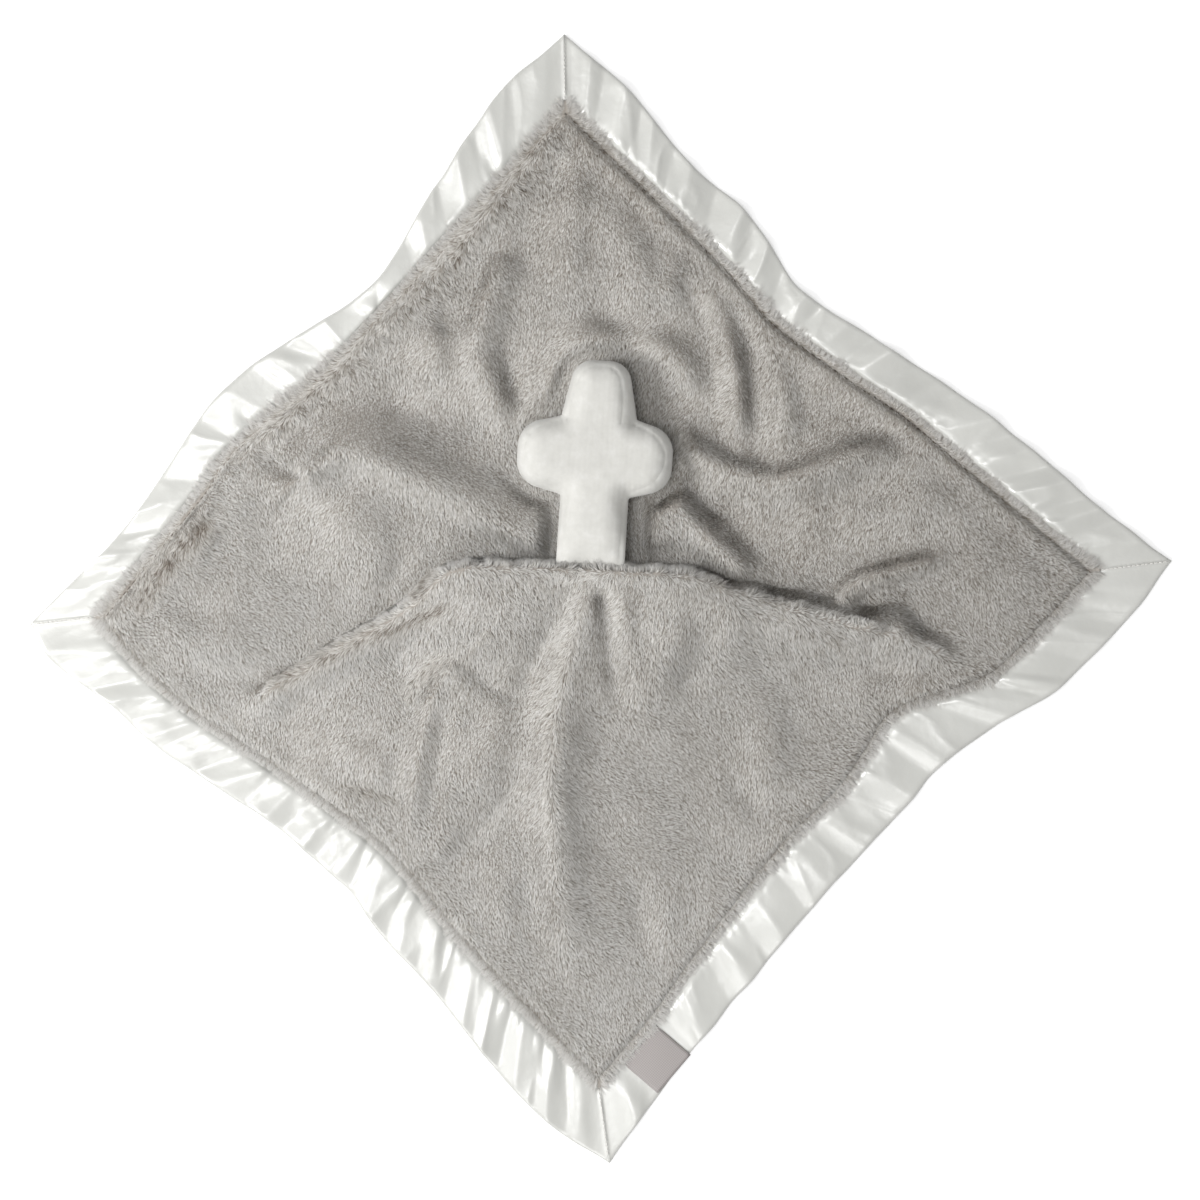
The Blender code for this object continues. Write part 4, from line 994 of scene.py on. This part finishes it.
def stitched(name, line, length, gap, radius, look, node, sag=0.3):
    """A row of raised stitches along a line of points, each a short arched bead of thread."""
    line = np.array(line)
    steps = np.linalg.norm(np.diff(line, axis=0), axis=1)
    along = np.concatenate([[0], np.cumsum(steps)])
    verts, faces = [], []
    around = np.radians(np.arange(STITCH_SIDES) * 360 / STITCH_SIDES)
    for start in np.arange(gap / 2, along[-1] - length, length + gap):
        spots = start + length * np.linspace(0, 1, len(STITCH_RINGS))
        centre = np.stack([np.interp(spots, along, line[:, k]) for k in range(3)], 1)
        way = unit(centre[-1] - centre[0])
        wide = unit(np.cross(way, (0, 0, 1)))
        tall = np.cross(wide, way)
        base = len(verts)
        for spot, (size, arch) in zip(centre, STITCH_RINGS):
            spot = spot + tall * (arch * radius * sag)
            verts += [spot + (wide * math.cos(a) + tall * math.sin(a)) * radius * size for a in around]
        for first in range(base, len(verts) - STITCH_SIDES, STITCH_SIDES):
            for k in range(STITCH_SIDES):
                a, b = first + k, first + (k + 1) % STITCH_SIDES
                faces.append([a, b, b + STITCH_SIDES, a + STITCH_SIDES])
        top = len(verts)
        faces += [range(base + STITCH_SIDES - 1, base - 1, -1), range(top - STITCH_SIDES, top)]
    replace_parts(mesh_object(name, verts, faces, look, "blanket"), node)


def make_edge_stitches(look):
    loop = closed(inset(plush_edge(64)[:-1], STITCH_INSET))
    sunk = 0.9 * (1 - by_side(loop, GROOVES)) * MM
    line = np.column_stack([loop, cloth_height(loop) + 0.5 * MM - sunk])
    stitched("edge_stitches", line, 2.6 * MM, 0.8 * MM, 0.3 * MM, look, "edge_stitching")


def make_mitre_stitches(strips, look):
    for name, strip in zip(CORNERS, strips):
        line = np.array([row[0] for row in strip[2:14]]) + (0, 0, 0.25 * MM)
        stitched("mitre_stitches_" + name, line, 2.1 * MM, 0.15 * MM, 0.26 * MM, look,
                 "mitre_seam_" + name, 0.1)


def make_anchor_stitches(look):
    """The zigzag that holds the foot of the stem to the ridge."""
    half = STEM - FOOT_RADIUS
    x = np.linspace(-half, half, 15)
    flat = from_cross(np.column_stack([x, np.full(len(x), -FOOT_RADIUS - 1.6 * MM)]))
    line = np.column_stack([flat, HINGE_HEIGHT + MM * np.where(np.arange(len(x)) % 2, -0.9, -2.7)])
    stitched("anchor_stitches", line, 1.7 * MM, 0.35 * MM, 0.28 * MM, look, "anchor_seam")


# The cross
def cross_height(y, level):
    front = FOOT_RADIUS + (FRONT_FULL - FOOT_RADIUS) * eased(y / FRONT_TAPER)
    back = FOOT_RADIUS + (BACK_FULL - FOOT_RADIUS) * eased(y / BACK_TAPER)
    dip = DIP * eased((1.5 * MM - y) / (TUCK + 1.5 * MM))
    return (front - back) / 2 + (front + back) / 2 * level - dip


SEAMS = [softened(np.array(path) * MM) for path in (
    [(-15.4, 67), (-14.6, 74), (-12.6, 83), (-10.2, 91), (-4, 94), (4, 94), (8.6, 91), (11, 83), (11.6, 75),
     (11.2, 66)],
    [(-13.8, 29), (-14.4, 16), (-14.2, -2)],
    [(14.2, 29), (14.5, 16), (14.2, -2)],
    [(17, 66), (27, 62.5), (33.6, 55), (34, 46), (29, 37), (19, 33)],
    [(-20, 65.5), (-30, 62.5), (-36.2, 55), (-36.2, 45), (-31, 37), (-20, 33)],
)]


RIM_DEPTHS = np.array([0, 0.06, 0.2, 0.45, 0.85, 1.4, 2.1, 3.0]) * MM
FILL_STEP, FILL_GAP = 1.3 * MM, 0.8 * MM        # the grid between, and its distance from the seams' rows
SEAM_STEP, SEAM_SPREAD = 0.9 * MM, 0.55 * MM


def cross_plan():
    """The cross's plan in triangles: rings inside its outline, rows along its seams, a grid between."""
    rings = [inset(CROSS, depth) for depth in RIM_DEPTHS]
    x, y = np.meshgrid(np.arange(-LEFT_ARM, RIGHT_ARM, FILL_STEP), np.arange(-TUCK, CROSS_LENGTH, FILL_STEP))
    fill = np.column_stack([x.ravel(), y.ravel()])
    fill = fill[inside(fill, CROSS)]
    fill = fill[near(fill, closed(CROSS))[0] > 3.9 * MM]
    beside = np.array((-1, 0, 1)) * SEAM_SPREAD
    seam_rows = np.vstack([evenly(seam, SEAM_STEP)[:-1] + off for seam in SEAMS for off in beside])
    seam_rows = seam_rows[inside(seam_rows, rings[-1])]
    fill = fill[np.array([np.hypot(*(seam_rows - spot).T).min() for spot in fill]) > FILL_GAP]
    edges = [(k, (k + 1) % len(CROSS)) for k in range(len(CROSS))]
    plan = [Vector(spot) for spot in np.vstack([*rings, seam_rows, fill])]
    verts, _, faces, *_ = delaunay_2d_cdt(plan, edges, [], 1, 1e-7)
    return np.array([tuple(v) for v in verts]), faces


def make_cross(velour):
    """The stuffed cross: a pillow form closed at its widest line, pulled in at its notches and seams."""
    plan, faces = cross_plan()
    depth, _, along, _ = near(plan, closed(CROSS))
    rim = depth < 0.01 * MM
    level = np.sqrt(1 - (1 - np.clip(depth / PILLOW_RUN, 0, 1)) ** 2)
    level[rim] = 0
    gathers = wander_along(along * 1.5 * MM, 4, 71)
    sunk = 0.45 * MM * gathers * bell(depth - 4 * MM, 3 * MM) + 0.5 * MM * wander(plan, 16, 72) * level
    for notch in np.array(NOTCHES) * MM:
        reach = np.hypot(*(plan - notch).T)
        sunk = sunk + 1.9 * MM * bell(reach, 6.5 * MM) * np.minimum(1, level * 2)
    lines = sum(0.5 * MM * bell(near(plan, seam)[0], 0.75 * MM) for seam in SEAMS)
    sunk = (sunk + lines) * np.minimum(1, level * 1.6)
    places = np.vstack([np.column_stack([plan, cross_height(plan[:, 1], face * level) - face * sunk])
                        for face in (1, -1)])
    order = np.arange(len(plan))
    behind = np.where(rim, order, order + len(plan))
    faces = np.vstack([faces, behind[np.array(faces)[:, ::-1]]])
    used, new = np.unique(faces, return_inverse=True)
    cushion = mesh_object("cross_cushion", places[used], new.reshape(faces.shape).tolist(), velour, "cross")
    cushion.matrix_world = Matrix.Translation((*FOOT, HINGE_HEIGHT)) @ Matrix.Rotation(-LEAN, 4, "Z")
    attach(cushion, "cross")
    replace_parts(cushion, "cross_front_panel", "cross_back_panel", "cross_gusset", "cross_stuffing")


LABEL_ROWS = 15


def make_label(look):
    """A bare woven tab sewn in under the plush, curling a little off the satin."""
    rows = []
    for out in np.linspace(0, 1, LABEL_ROWS):
        for aside in np.linspace(-0.5, 0.5, LABEL_ROWS):
            hump = 0.5 * MM * math.sin(out * math.pi) * (1 - (2 * aside) ** 2)
            curl = 0.9 * MM * out * out * (0.6 + aside)
            rows.append((aside * LABEL_WIDTH, out * LABEL_LENGTH, hump + curl))
    tab = mesh_object("label_tab", rows, grid_faces(LABEL_ROWS, LABEL_ROWS), look, "label")
    thicken(tab, 0.4 * MM)
    x, y = LABEL_ROOT + LABEL_OUT * 1.1 * MM
    tab.matrix_world = Matrix(((LABEL_ALONG[0], LABEL_OUT[0], 0, x), (LABEL_ALONG[1], LABEL_OUT[1], 0, y),
                               (0, 0, 1, LABEL_LEVEL), (0, 0, 0, 1)))
    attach(tab, "label")
    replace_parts(tab, "label")


# The stage
def white_floor():
    """Matt white paper: it keeps the shadow, and shows white to the camera and in gloss."""
    made = bpy.data.materials.new("white_paper_floor")
    made.use_nodes = True
    tree = made.node_tree
    tree.nodes.clear()
    rays = add(tree, "LightPath")
    seen = rays.outputs["Is Camera Ray"]
    for kind in ("Is Glossy Ray", "Is Transmission Ray"):
        seen = add(tree, "Math", {0: seen, 1: rays.outputs[kind]}, operation="MAXIMUM").outputs[0]
    lift = add(tree, "Math", {0: seen, 1: 0.5}, operation="MULTIPLY")
    paper = add(tree, "BsdfDiffuse", {"Color": colour("#dcdcdc")})
    glow = add(tree, "Emission", {"Color": colour("#ffffff"), "Strength": lift.outputs[0]})
    both = add(tree, "AddShader", {0: paper.outputs[0], 1: glow.outputs[0]})
    add(tree, "OutputMaterial", {"Surface": both.outputs[0]}, is_active_output=True)
    return made


TABLE_REACH = 4             # metres each way
SKY = 0.4
# Lamps: (name, place, size, power)
LAMPS = [("key", (-1.05, -0.1, 1.0), 0.5, 14), ("low_fill", (-0.5, -1.3, 1.5), 0.9, 9),
         ("softbox", (-0.4, -0.1, 2.1), 0.55, 10.5)]


def make_stage():
    mesh = bpy.data.meshes.new("table")
    turns = [(-1, -1), (1, -1), (1, 1), (-1, 1)]
    mesh.from_pydata([(x * TABLE_REACH, y * TABLE_REACH, 0) for x, y in turns], [], [(0, 1, 2, 3)])
    mesh.materials.append(white_floor())
    linked("table", mesh)
    world = bpy.data.worlds.new("studio")
    bpy.context.scene.world = world
    world.use_nodes = True
    sky = world.node_tree.nodes["Background"]
    sky.inputs["Color"].default_value = colour("#ffffff")
    sky.inputs["Strength"].default_value = SKY
    for name, place, size, power in LAMPS:
        lamp = bpy.data.lights.new(name, "AREA")
        lamp.size, lamp.energy = size, power
        made = linked(name, lamp)
        made.location = place
        made.rotation_euler = (-Vector(place)).to_track_quat("-Z", "Y").to_euler()


LENS, SENSOR = 180, 36
FRAME_WIDTH = 0.6           # metres of table across the photograph


def make_camera():
    """Straight down, at the photograph's scale."""
    data = bpy.data.cameras.new("camera")
    data.lens, data.sensor_width = LENS, SENSOR
    made = linked("camera", data)
    made.location = (-0.5 * MM, -0.75 * MM, FRAME_WIDTH * LENS / SENSOR)
    bpy.context.scene.camera = made
    bpy.context.scene.view_settings.view_transform = "Standard"


make_stage()
make_camera()
# The pile's colours at its roots, middle and tips: the dark roots partly painted shade between the hairs, the
# pale tips partly painted light
knit, mink = knit_ground(), mink_pile("#8f8a82", "#cac8c4", "#e8e7e4")
make_top(knit, mink)
make_back(knit, mink)
satin = charmeuse_satin()
strips = [make_satin(side, satin) for side in range(4)]
grey_thread = spun_thread("grey_thread", "#4b423c", "#6d635c")
make_edge_stitches(grey_thread)
make_mitre_stitches(strips, spun_thread("white_thread", "#cfcdc8", "#efede8"))
make_anchor_stitches(grey_thread)
make_cross(knitted_velour())
make_label(woven_tape())
